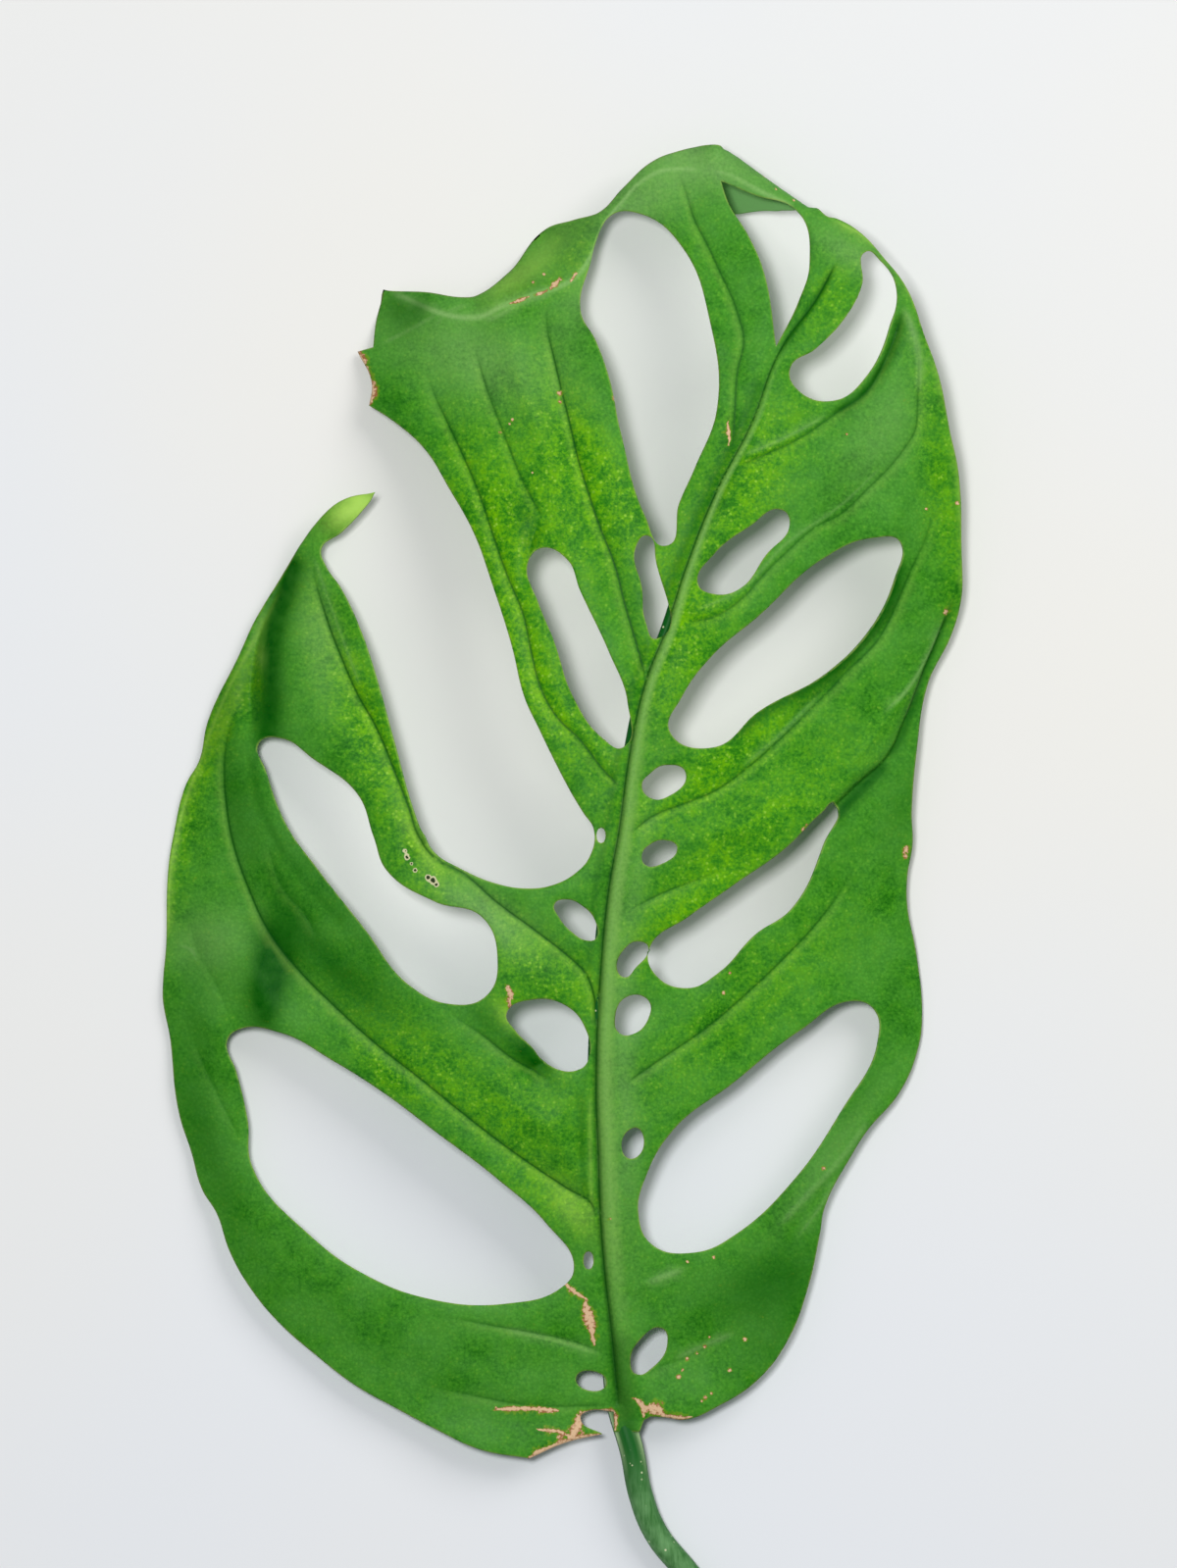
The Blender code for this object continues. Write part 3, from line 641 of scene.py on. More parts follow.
@dataclass(frozen=True)
class BladeForm:
    """How the flat blade is bent: arched over the midrib, drooping, creased and rolled at the tip.

    Attributes:
        base_height: how high the midrib lies where the petiole meets the blade.
        arch_height: how much higher it rises from there.
        arch_length: how far up the blade it rises.
        top_sag: how far it has come down again one sag length past that.
        top_sag_length: the sag length.
        margin_drop: the share of its height that the blade loses at its reach.
        left_reach: how far left of the midrib that is.
        right_reach: how far right of it that is.
        crease_slope: how steeply the blade falls past its crease.
        crease_softness: how round the crease is.
        crease_fades: where across the blade the crease fades and is gone.
        roll_start: a point of the line over which the tip is rolled.
        roll_degrees: how far that line is turned from +X.
        roll_radius: how round the roll is at that point.
        roll_taper: how much tighter it gets for each unit along the line.
        roll_least_radius: how tight it gets at most.
        roll_left: where along the line the roll starts and is full.
        roll_right: where it fades and is gone.
        tip_slant: how steeply the tip slants down under the blade.
        slope_step: over how far the surface's slope is measured.
    """

    base_height: float = 7.0
    arch_height: float = 19.0
    arch_length: float = 190.0
    top_sag: float = 10.0
    top_sag_length: float = 90.0
    margin_drop: float = 0.97
    left_reach: float = 98.5
    right_reach: float = 77.0
    crease_slope: float = 0.9
    crease_softness: float = 1.5
    crease_fades: Range = (14.0, 20.0)
    roll_start: tuple[float, float] = (17.6, 281.2)
    roll_degrees: float = -28.8
    roll_radius: float = 6.1
    roll_taper: float = 0.11
    roll_least_radius: float = 3.0
    roll_left: Range = (-3.0, 1.0)
    roll_right: Range = (23.0, 30.0)
    tip_slant: float = 0.35
    slope_step: float = 0.2

    def midrib_height(self, y: np.ndarray) -> np.ndarray:
        """Height of the blade along its midrib at these distances up it."""
        rise = np.sin(0.5 * math.pi * np.clip(y / self.arch_length, 0.0, 1.0))
        past = np.clip((y - self.arch_length) / self.top_sag_length, 0.0, None)
        return self.base_height + self.arch_height * rise - self.top_sag * past**2

    def past_crease(self, x: np.ndarray, y: np.ndarray) -> np.ndarray:
        """How far points lie past the crease at the top of the blade, or 0 before it."""
        line = np.array([point[:2] for point in CREASE], dtype=float)
        side, _, _ = along_line(np.stack([x, y], axis=-1), line)
        return np.clip(side, 0.0, None)

    def height(self, x: np.ndarray, y: np.ndarray) -> np.ndarray:
        """Height of the blade's middle surface, before its tip is rolled under.

        Args:
            x: places across the flat blade.
            y: places up the flat blade.

        Returns:
            The heights in millimetres.
        """
        midrib_x = np.interp(y, [point[1] for point in MIDRIB], [point[0] for point in MIDRIB])
        across = x - midrib_x
        reach = np.where(across < 0.0, self.left_reach, self.right_reach)
        droop = 1.0 - self.margin_drop * np.clip(across / reach, -1.0, 1.0) ** 2
        beyond = self.past_crease(x, y)
        fold = np.sqrt(beyond**2 + self.crease_softness**2) - self.crease_softness
        fold *= 1.0 - smooth_step(x, *self.crease_fades)
        return self.midrib_height(y) * droop - self.crease_slope * fold

    def place(self, x: np.ndarray, y: np.ndarray) -> np.ndarray:
        """Where points of the flat blade lie in the bent one.

        Args:
            x: places across the flat blade.
            y: places up the flat blade.

        Returns:
            Rows of x, y and z.
        """
        turn = math.radians(self.roll_degrees)
        tx, ty = math.cos(turn), math.sin(turn)
        along = (x - self.roll_start[0]) * tx + (y - self.roll_start[1]) * ty
        out = (y - self.roll_start[1]) * tx - (x - self.roll_start[0]) * ty
        share = smooth_step(along, *self.roll_left) * (1.0 - smooth_step(along, *self.roll_right))
        rolled = np.clip(out, 0.0, None) * share
        radius = np.clip(
            self.roll_radius - self.roll_taper * along, self.roll_least_radius, self.roll_radius
        )
        angle = np.clip(rolled / radius, 0.0, math.pi)
        straight = np.clip(rolled - math.pi * radius, 0.0, None)
        new_out = out - rolled + radius * np.sin(angle) - straight
        height = self.height(x + ty * rolled, y - tx * rolled)
        height -= radius * (1.0 - np.cos(angle)) + self.tip_slant * straight
        place_x = self.roll_start[0] + along * tx - new_out * ty
        place_y = self.roll_start[1] + along * ty + new_out * tx
        return np.stack([place_x, place_y, height], axis=-1)

    def bent(self, x: np.ndarray, y: np.ndarray, relief: np.ndarray) -> np.ndarray:
        """Points of the bent blade, moved off its surface.

        Args:
            x: places across the flat blade.
            y: places up the flat blade.
            relief: how far each point stands off the smooth surface.

        Returns:
            Rows of x, y and z.
        """
        step = self.slope_step
        normal = np.cross(
            self.place(x + step, y) - self.place(x - step, y),
            self.place(x, y + step) - self.place(x, y - step),
        )
        normal /= np.linalg.norm(normal, axis=1, keepdims=True)
        return self.place(x, y) + normal * relief[:, None]


class Value:
    """A number socket of a material, on which Python's operators add Math nodes."""

    def __init__(self, finish: "NodeFinish", socket: bpy.types.NodeSocket) -> None:
        """Wraps a socket.

        Args:
            finish: the material that the socket belongs to.
            socket: an output socket that gives one number.
        """
        self.finish = finish
        self.socket = socket

    def maths(self, operation: str, *others: "Value | float") -> "Value":
        """Adds one Math node on this value and the others, and returns its result."""
        inputs = {index + 1: other for index, other in enumerate(others)}
        node = self.finish.node("ShaderNodeMath", {"operation": operation}, {0: self, **inputs})
        return Value(self.finish, node.outputs[0])

    def __add__(self, other: "Value | float") -> "Value":
        """Adds."""
        return self.maths("ADD", other)

    def __radd__(self, other: float) -> "Value":
        """Adds to a plain number."""
        return self.maths("ADD", other)

    def __sub__(self, other: "Value | float") -> "Value":
        """Subtracts."""
        return self.maths("SUBTRACT", other)

    def __rsub__(self, other: float) -> "Value":
        """Subtracts from a plain number."""
        return (self * -1.0) + other

    def __mul__(self, other: "Value | float") -> "Value":
        """Multiplies."""
        return self.maths("MULTIPLY", other)

    def __rmul__(self, other: float) -> "Value":
        """Multiplies a plain number."""
        return self.maths("MULTIPLY", other)

    def rise(self, low: float, high: float) -> "Value":
        """Rises smoothly from 0 at low to 1 at high; falls if low is the larger.

        Args:
            low: the value that gives 0.
            high: the value that gives 1.

        Returns:
            A value from 0 to 1.
        """
        settings = {"interpolation_type": "SMOOTHSTEP"}
        if low < high:
            inputs = {"Value": self, "From Min": low, "From Max": high}
        else:
            inputs = {"Value": self, "From Min": high, "From Max": low, "To Min": 1.0, "To Max": 0.0}
        return Value(self.finish, self.finish.node("ShaderNodeMapRange", settings, inputs).outputs[0])


# The sockets of a surface that a finish may set by a short name.
SOCKETS = {"normal": "Normal", "shine": "Specular IOR Level"}
# How high fine relief stands at most, in millimetres.
BUMP_DEPTH = 0.15


class NodeFinish:
    """One material under construction."""

    def __init__(self, name: str) -> None:
        """Starts an empty material.

        Args:
            name: the material's name.
        """
        self.material = bpy.data.materials.new(name)
        self.material.use_nodes = True
        self.tree = self.material.node_tree
        self.tree.nodes.clear()

    def node(self, kind: str, settings: dict[str, Any], inputs: dict[Any, Any]) -> bpy.types.Node:
        """Adds a node.

        Args:
            kind: the node's type.
            settings: its own settings, set first.
            inputs: a value, a colour, a socket or a Value for each named or numbered input.

        Returns:
            The node.
        """
        node = self.tree.nodes.new(kind)
        for name, setting in settings.items():
            setattr(node, name, setting)
        for key, given in inputs.items():
            source = given.socket if isinstance(given, Value) else given
            if isinstance(source, bpy.types.NodeSocket):
                self.tree.links.new(source, node.inputs[key])
            else:
                node.inputs[key].default_value = source
        return node

    def attribute(self, name: str) -> Value:
        """A number that the piece's mesh carries at each vertex."""
        node = self.node("ShaderNodeAttribute", {"attribute_name": name}, {})
        return Value(self, node.outputs["Fac"])

    def flat_place(self, stretch: Place = (1.0, 1.0, 1.0)) -> bpy.types.NodeSocket:
        """The place on the flat blade, as a vector for textures.

        Args:
            stretch: the scale along each axis.

        Returns:
            A vector socket, in metres where the stretch is 1.
        """
        source = self.node("ShaderNodeAttribute", {"attribute_name": "flat"}, {}).outputs["Vector"]
        return self.node("ShaderNodeMapping", {}, {"Vector": source, "Scale": stretch}).outputs[0]

    def noise(
        self, place: bpy.types.NodeSocket, size: float, detail: float = 2.0, rough: float = 0.5
    ) -> Value:
        """Soft random variation from 0 to 1.

        Args:
            place: the vector that it follows.
            size: how large its patches are, in millimetres.
            detail: how many finer layers it has.
            rough: how strong the finer layers are.

        Returns:
            A value that is mostly near one half.
        """
        inputs = {"Vector": place, "Scale": 1.0 / (size * MM), "Detail": detail, "Roughness": rough}
        return Value(self, self.node("ShaderNodeTexNoise", {}, inputs).outputs[0])

    def cells(self, place: bpy.types.NodeSocket, size: float) -> Value:
        """Distance to the middle of the nearest of many random cells of about this size in mm."""
        inputs = {"Vector": place, "Scale": 1.0 / (size * MM)}
        return Value(self, self.node("ShaderNodeTexVoronoi", {}, inputs).outputs["Distance"])

    def mix(self, share: Value | float, first: Any, second: Any) -> bpy.types.NodeSocket:
        """Blends two colours.

        Args:
            share: 0 for the first colour and 1 for the second.
            first: a colour or a colour socket.
            second: a colour or a colour socket.

        Returns:
            The blended colour's socket.
        """
        settings = {"data_type": "RGBA"}
        inputs = {0: share, 6: opaque(first), 7: opaque(second)}
        return self.node("ShaderNodeMix", settings, inputs).outputs[2]

    def bump(self, strength: float, height: Value) -> bpy.types.NodeSocket:
        """The direction of a surface with this fine relief, BUMP_DEPTH high at most."""
        inputs = {"Strength": strength, "Distance": BUMP_DEPTH * MM, "Height": height}
        return self.node("ShaderNodeBump", {}, inputs).outputs[0]

    def surface(
        self, colour: bpy.types.NodeSocket, roughness: Value | float, **others: Any
    ) -> bpy.types.NodeSocket:
        """A plain surface.

        Args:
            colour: its colour.
            roughness: how dull it is.
            others: what goes to its Normal, or its shine.

        Returns:
            The shader's socket.
        """
        inputs = {"Base Color": colour, "Roughness": roughness}
        inputs |= {SOCKETS[name]: given for name, given in others.items()}
        return self.node("ShaderNodeBsdfPrincipled", {}, inputs).outputs[0]

    def finished(self, shader: bpy.types.NodeSocket) -> bpy.types.Material:
        """Ends the material with this shader and returns it."""
        self.node("ShaderNodeOutputMaterial", {}, {"Surface": shader})
        return self.material


def opaque(colour: Any) -> Any:
    """A colour with its fourth value, or a socket as it is."""
    return (*colour, 1.0) if isinstance(colour, tuple) else colour


def paint(red: int, green: int, blue: int) -> Colour:
    """The light that a screen colour stands for.

    Args:
        red: from 0 to 255.
        green: from 0 to 255.
        blue: from 0 to 255.

    Returns:
        The three values from 0 to 1, as a shader takes them.
    """
    shares = [channel / 255.0 for channel in (red, green, blue)]
    linear = [s / 12.92 if s <= 0.04045 else ((s + 0.055) / 1.055) ** 2.4 for s in shares]
    return (linear[0], linear[1], linear[2])


@dataclass(frozen=True)
class Patterns:
    """The random patterns that the leaf's finish is made of.

    Attributes:
        place: the place on the flat blade.
        cloud: the broadest pattern.
        blotch: the middle one.
        grain: the finest.
        warm: how much a place belongs to the yellow-green zones between the veins.
    """

    place: bpy.types.NodeSocket
    cloud: Value
    blotch: Value
    grain: Value
    warm: Value


@dataclass(frozen=True)
class LeafFinish:
    """Living leaf: mottled glossy green above, dull grey-green below, with dry tan scars; the blade's
    marks and vein lines also paint shade, sheen and highlights on it.

    A pattern's three numbers are its size in millimetres, its finer layers and their strength.
    A range's two numbers are the values at which a pattern starts to show and shows fully.
    """

    # Deep green: the dark end of the mottling, and the colour of the painted shade marks.
    deep: Colour = paint(0, 84, 0)
    green: Colour = paint(64, 152, 18)
    cool: Colour = paint(86, 159, 62)
    yellow: Colour = paint(126, 196, 0)
    stipple: Colour = paint(156, 214, 66)
    # Pale grey-green: painted sheen, and pale tissue along some veins.
    pale: Colour = paint(150, 196, 118)
    # Bright yellow-green: painted highlights and glow, the painted highlight beside each vein, and
    # yellowish margins.
    bright: Colour = paint(178, 224, 96)
    band: Colour = paint(130, 182, 88)
    # Dark green for the lines of painted shade along the grooves of veins, folds and midrib.
    vein: Colour = paint(4, 72, 8)
    rim: Colour = paint(168, 190, 96)
    underside: Colour = paint(128, 184, 112)
    tan: Colour = paint(232, 194, 156)
    brown: Colour = paint(158, 104, 66)
    halo: Colour = paint(130, 158, 26)
    # Painted shade in the middle of each eaten pit.
    painted_pit_shade: Colour = paint(34, 44, 18)
    bleached: Colour = paint(210, 208, 164)
    see_through: Colour = paint(84, 184, 6)
    see_through_share: float = 0.22
    clouds: tuple[float, float, float] = (14.0, 3.0, 0.55)
    blotches: tuple[float, float, float] = (3.2, 4.0, 0.65)
    grains: tuple[float, float, float] = (0.8, 2.0, 0.6)
    dot_size: float = 1.2
    cell_size: float = 0.7
    green_range: Range = (0.38, 0.88)
    cool_range: Range = (0.3, 0.9)
    yellow_range: Range = (0.68, 1.08)
    dot_range: Range = (0.36, 0.14)
    dotted_range: Range = (0.42, 0.62)
    cell_range: Range = (0.25, 0.65)
    rim_range: Range = (0.45, 0.95)
    rimmed_range: Range = (0.3, 0.6)
    halo_range: Range = (0.2, 0.42)
    dead_range: Range = (0.48, 0.54)
    tan_range: Range = (0.46, 0.84)
    bleached_range: Range = (0.36, 0.44)
    painted_pit_shade_range: Range = (0.62, 0.7)
    shine: float = 0.08
    relief: float = 0.4

    def living(self, finish: NodeFinish, seen: Patterns) -> bpy.types.NodeSocket:
        """The mottled greens of the upper face.

        Args:
            finish: the material.
            seen: its patterns.

        Returns:
            The colour's socket.
        """
        mottled = seen.cloud * 0.5 + seen.blotch * 0.6 + seen.grain * 0.4
        colour = finish.mix(
            (mottled + seen.warm * 0.06).rise(*self.green_range), self.deep, self.green
        )
        calm = (1.0 - seen.warm) * (seen.cloud + seen.grain * 0.3).rise(*self.cool_range)
        colour = finish.mix(calm * 0.8, colour, self.cool)
        fresh = (seen.cloud * 0.4 + seen.blotch * 0.9 + seen.grain * 0.4).rise(*self.yellow_range)
        colour = finish.mix((seen.warm * 0.9 + 0.08) * fresh, colour, self.yellow)
        dots = finish.cells(seen.place, self.dot_size).rise(*self.dot_range)
        dots = dots * seen.blotch.rise(*self.dotted_range)
        colour = finish.mix(dots * (seen.warm * 0.85 + 0.12), colour, self.stipple)
        cells = finish.cells(seen.place, self.cell_size).rise(*self.cell_range)
        return finish.mix(cells * 0.2, colour, self.deep)

    def marked(
        self, finish: NodeFinish, seen: Patterns, colour: bpy.types.NodeSocket, under: Value
    ) -> bpy.types.NodeSocket:
        """The painted sheen, highlights and shade, the veins' lines of painted shade and highlight, the
        rim and the underside.

        Args:
            finish: the material.
            seen: its patterns.
            colour: the greens that these lie on.
            under: 1 on the blade's lower face.

        Returns:
            The colour's socket.
        """
        # Painted sheen, and pale tissue.
        colour = finish.mix(finish.attribute("pale") * (0.6 + seen.grain * 0.8), colour, self.pale)
        # Painted highlights and glow, and yellowish margins.
        colour = finish.mix(finish.attribute("bright") * (0.7 + seen.blotch * 0.6), colour, self.bright)
        # Painted shade, and darker green in places.
        colour = finish.mix(finish.attribute("deep") * (0.45 + seen.blotch * 0.9), colour, self.deep)
        colour = finish.mix(finish.attribute("band") * (0.5 + seen.grain), colour, self.band)
        # Painted highlight on the lit side of each vein groove.
        colour = finish.mix(finish.attribute("light") * (0.6 + seen.grain * 0.8), colour, self.bright)
        # Painted shade along the grooves of veins, folds and midrib.
        colour = finish.mix(finish.attribute("vein") * 0.9, colour, self.vein)
        rim = finish.attribute("rim").rise(*self.rim_range) * seen.blotch.rise(*self.rimmed_range)
        colour = finish.mix(rim * 0.5, colour, self.rim)
        return finish.mix(under * 0.9, colour, self.underside)

    def dried(
        self, finish: NodeFinish, seen: Patterns, colour: bpy.types.NodeSocket
    ) -> tuple[bpy.types.NodeSocket, Value]:
        """The scars, specks and eaten pits, with painted shade in the middle of each pit.

        Args:
            finish: the material.
            seen: its patterns.
            colour: the living surface that they lie on.

        Returns:
            The colour's socket, and the value that is 1 where the leaf is dead.
        """
        scar = finish.attribute("scar")
        rough_edge = (seen.blotch - 0.5) * 1.0 + (seen.grain - 0.5) * 0.45
        ragged = scar + rough_edge
        dead = ragged.rise(*self.dead_range)
        colour = finish.mix(ragged.rise(*self.halo_range) * 0.5, colour, self.halo)
        dry = (scar + (seen.grain - 0.5) * 1.6).rise(*self.tan_range)
        colour = finish.mix(dead, colour, finish.mix(dry, self.brown, self.tan))
        ring = finish.attribute("pit") + rough_edge * 0.5
        colour = finish.mix(ring.rise(*self.bleached_range), colour, self.bleached)
        # Painted shade in the middle of each pit, inside its bleached ring.
        return finish.mix(ring.rise(*self.painted_pit_shade_range), colour, self.painted_pit_shade), dead

    def material(self) -> bpy.types.Material:
        """Builds the material.

        Returns:
            The finished material, which reads the blade's own attributes.
        """
        finish = NodeFinish("monstera_leaf_surface")
        place = finish.flat_place()
        cloud, blotch, grain = (
            finish.noise(place, *pattern) for pattern in (self.clouds, self.blotches, self.grains)
        )
        seen = Patterns(place, cloud, blotch, grain, finish.attribute("warm"))
        under = finish.attribute("under")
        colour = self.marked(finish, seen, self.living(finish, seen), under)
        colour, dead = self.dried(finish, seen, colour)
        normal = finish.bump(self.relief, grain * 0.5 + blotch * 0.8 + dead * -0.6)
        roughness = 0.4 + blotch * 0.1 + dead * 0.35 + under * 0.2
        surface = finish.surface(colour, roughness, normal=normal, shine=self.shine)
        glow = finish.node("ShaderNodeBsdfTranslucent", {}, {"Color": opaque(self.see_through)})
        shares = {0: self.see_through_share, 1: surface, 2: glow.outputs[0]}
        return finish.finished(finish.node("ShaderNodeMixShader", {}, shares).outputs[0])


@dataclass(frozen=True)
class PetioleFinish:
    """The petiole and rib: smooth grey-green with pale lines along its wings and a few flecks, darker
    green near the blade and painted shade down its right side.

    Attributes:
        stretch: how its fine lines are drawn out along it.
        lines: the lines' size in millimetres, finer layers and their strength.
        blotches: the same for its blotches.
        fleck_size: how far apart the flecks lie.
    """

    green: Colour = paint(98, 146, 92)
    shaded: Colour = paint(54, 106, 50)
    pale: Colour = paint(176, 204, 152)
    fleck: Colour = paint(222, 226, 184)
    # Dark green near the blade, also painted as shade down the right side.
    dark_green_and_side_shade: Colour = paint(4, 84, 18)
    cut: Colour = paint(170, 190, 110)
    stretch: Place = (1.0, 0.12, 1.0)
    lines: tuple[float, float, float] = (0.7, 3.0, 0.6)
    blotches: tuple[float, float, float] = (5.0, 2.0, 0.5)
    fleck_size: float = 1.6
    green_range: Range = (0.35, 0.85)
    fleck_range: Range = (0.2, 0.1)
    flecked_range: Range = (0.5, 0.6)
    shine: float = 0.12
    relief: float = 0.3

    def material(self) -> bpy.types.Material:
        """Builds the material.

        Returns:
            The finished material, which reads the petiole's own attributes.
        """
        finish = NodeFinish("petiole_surface")
        place = finish.flat_place()
        along = finish.noise(finish.flat_place(self.stretch), *self.lines)
        blotch = finish.noise(place, *self.blotches)
        streaked = (along * 0.7 + blotch * 0.5).rise(*self.green_range)
        colour = finish.mix(streaked, self.shaded, self.green)
        flecks = finish.cells(place, self.fleck_size).rise(*self.fleck_range)
        flecks = flecks * blotch.rise(*self.flecked_range)
        # Darker green near the blade, and painted shade down the right side.
        colour = finish.mix(finish.attribute("near"), colour, self.dark_green_and_side_shade)
        colour = finish.mix(flecks * 0.7, colour, self.fleck)
        colour = finish.mix(finish.attribute("pale"), colour, self.pale)
        colour = finish.mix(finish.attribute("cut"), colour, self.cut)
        normal = finish.bump(self.relief, along)
        roughness = 0.42 + blotch * 0.12
        return finish.finished(
            finish.surface(colour, roughness, normal=normal, shine=self.shine)
        )


@dataclass(frozen=True)
class FloorFinish:
    """A pale matt floor that turns a little cooler in broad soft clouds."""

    warm: Colour = paint(222, 221, 217)
    cool: Colour = paint(217, 220, 225)
    cloud_size: float = 300.0
    cool_range: Range = (0.3, 0.7)
    roughness: float = 0.9

    def material(self) -> bpy.types.Material:
        """Builds the material.

        Returns:
            The finished material, which reads Object coordinates.
        """
        finish = NodeFinish("pale_floor")
        place = finish.node("ShaderNodeTexCoord", {}, {}).outputs["Object"]
        clouded = finish.noise(place, self.cloud_size).rise(*self.cool_range)
        colour = finish.mix(clouded, self.warm, self.cool)
        return finish.finished(finish.surface(colour, self.roughness))


def mesh_piece(name: str, points: np.ndarray, faces: list[list[int]]) -> bpy.types.Object:
    """A new mesh object, selected alone and active.

    Args:
        name: the piece's name.
        points: its vertices in millimetres.
        faces: the vertex numbers of each face.

    Returns:
        The object, at the origin.
    """
    mesh = bpy.data.meshes.new(name)
    mesh.from_pydata((points * MM).tolist(), [], faces)
    piece = bpy.data.objects.new(name, mesh)
    bpy.context.scene.collection.objects.link(piece)
    bpy.ops.object.select_all(action="DESELECT")
    piece.select_set(True)
    bpy.context.view_layer.objects.active = piece
    return piece


def vertex_places(piece: bpy.types.Object) -> np.ndarray:
    """The vertices of a piece in millimetres, as rows of x, y and z."""
    flat = np.empty(len(piece.data.vertices) * 3)
    piece.data.vertices.foreach_get("co", flat)
    return flat.reshape(-1, 3) / MM


def set_places(piece: bpy.types.Object, points: np.ndarray) -> None:
    """Moves the vertices of a piece to these rows of x, y and z in millimetres."""
    piece.data.vertices.foreach_set("co", (points * MM).ravel())
    piece.data.update()


def set_value(piece: bpy.types.Object, name: str, values: np.ndarray) -> None:
    """Gives a piece's mesh one number for each vertex, under this name."""
    layer = piece.data.attributes.new(name, "FLOAT", "POINT")
    layer.data.foreach_set("value", values.astype(np.float32))


def set_vector(piece: bpy.types.Object, name: str, rows: np.ndarray) -> None:
    """Gives a piece's mesh one vector for each vertex, under this name."""
    layer = piece.data.attributes.new(name, "FLOAT_VECTOR", "POINT")
    layer.data.foreach_set("vector", rows.astype(np.float32).ravel())


def hand_over(piece: bpy.types.Object, material: bpy.types.Material) -> None:
    """Dresses a finished piece, hangs it on its body and hides the imported part that it stands in for.

    Args:
        piece: the finished piece.
        material: its material.
    """
    piece.data.materials.clear()
    piece.data.materials.append(material)
    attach(piece, BODY)
    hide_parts(NODE)
    LOG.info("%s: %d faces", piece.name, len(piece.data.polygons))


@dataclass
class LeafBlade:
    """The blade: one sheet with its holes, torn gap, veins, folds and marks, among them painted shade,
    sheen and highlights.

    Attributes:
        form: how the flat blade is bent.
        finish: what its surface is like.
        thickness: how thick the sheet is.
        edge_step: how far apart the points along its edges lie.
        rim_inset: how far inside an edge the next row of points lies.
        rim_room: the share of that inset that each point of the row keeps free.
        vein_step: how far apart the points along a vein lie.
        vein_rows: how far to each side of a vein its rows of points lie.
        midrib_rows: how far to each side of the midrib its further rows lie.
        streak_step: how far apart the points along a streak lie.
        ring_sides: how many points each of the two rings around a speck has.
        line_room: how much room each point of a vein, a streak or a speck keeps free.
        cell: how far apart the other points lie.
        cell_room: the share of that which each of them keeps free.
        merge_distance: how near to each other two points become one.
        vein_measure: how far apart the points lie that stand for a vein in measuring.
        streak_measure: the same for a streak.
        furrow_power: how sharp the bottom of a furrow is; 1 is the sharpest.
        furrow_lead: the share of its start by which a furrow begins before its route.
        furrow_tail: the share of its end by which it goes on after its route.
        line_width: how wide a vein's dark line of painted shade is.
        light_offset: how far below it the painted highlight beside it lies.
        light_width: how wide that painted highlight is.
        light_share: how strongly it shows.
        band_widths: places up the midrib and how wide its pale band is there.
        band_rise: how far the band stands up at the base.
        band_fades: the shares of its width at which the band's colour fades and is gone.
        band_start: where up the blade its colour starts to grow and is full.
        band_least: how much of its colour it has below that.
        band_end: how far from the midrib's end its colour is gone and starts to fade.
        band_share: how strongly the band shows.
        tongue_rises: where up the blade the midrib's relief starts and is full.
        groove: how deep the line beside the band is.
        groove_left: how wide the groove is on its left.
        groove_right: how wide it is on its right.
        midrib_line: how wide the midrib's dark line of painted shade is where the band ends.
        midrib_growth: how much wider it is for each unit of the band's width.
        midrib_end: how far from its end the line starts to fade.
        quilt: how far the blade swells between its veins.
        quilt_reach: how far from a vein most of the swelling is reached.
        edge_curl: how far the edge turns down.
        edge_reach: how far in from the edge that starts.
        rim_reach: how far in from the edge its pale rim reaches.
        wave: how far the blade waves up and down.
        wave_lines: each wave's length across and up the blade, its start and its share.
        wave_reach: how far from a vein the waves are full.
        streak_ends: how far from its ends a pale or dark streak is full.
        scar_ends: how far from its ends a scar is full.
        scar_tip: the share of its width that a scar has at its ends.
    """

    form: BladeForm = field(default_factory=BladeForm)
    finish: LeafFinish = field(default_factory=LeafFinish)
    thickness: float = 0.45
    edge_step: float = 0.7
    rim_inset: float = 0.45
    rim_room: float = 0.8
    vein_step: float = 0.9
    vein_rows: tuple[float, ...] = (0.0, 0.4, -0.4, 0.95, -0.95)
    midrib_rows: tuple[float, ...] = (-1.8, -2.7, 1.8)
    streak_step: float = 0.6
    ring_sides: int = 6
    line_room: float = 0.33
    cell: float = 1.35
    cell_room: float = 0.62
    merge_distance: float = 1e-5
    vein_measure: float = 2.0
    streak_measure: float = 1.0
    furrow_power: float = 1.15
    furrow_lead: float = 0.3
    furrow_tail: float = 0.1
    line_width: float = 0.34
    light_offset: float = 0.75
    light_width: float = 0.35
    light_share: float = 0.2
    band_widths: Route = ((0, 4.4), (40, 4.6), (100, 3.8), (150, 3.0), (200, 1.8), (260, 0.8))
    band_rise: float = 1.1
    band_fades: Range = (0.7, 1.15)
    band_start: Range = (8.0, 55.0)
    band_least: float = 0.15
    band_end: Range = (15.0, 60.0)
    band_share: float = 0.72
    tongue_rises: Range = (-1.0, 9.0)
    groove: float = 0.7
    groove_left: float = 1.1
    groove_right: float = 0.5
    midrib_line: float = 0.22
    midrib_growth: float = 0.05
    midrib_end: float = 4.0
    quilt: float = 0.5
    quilt_reach: float = 9.0
    edge_curl: float = 0.35
    edge_reach: float = 1.2
    rim_reach: float = 0.5
    wave: float = 0.6
    wave_lines: Route = ((11.0, 23.0, 0.0, 1.0), (-31.0, 9.5, 1.3, 1.0), (6.5, 6.5, 0.0, 0.4))
    wave_reach: float = 12.0
    streak_ends: float = 5.0
    scar_ends: float = 1.8
    scar_tip: float = 0.45

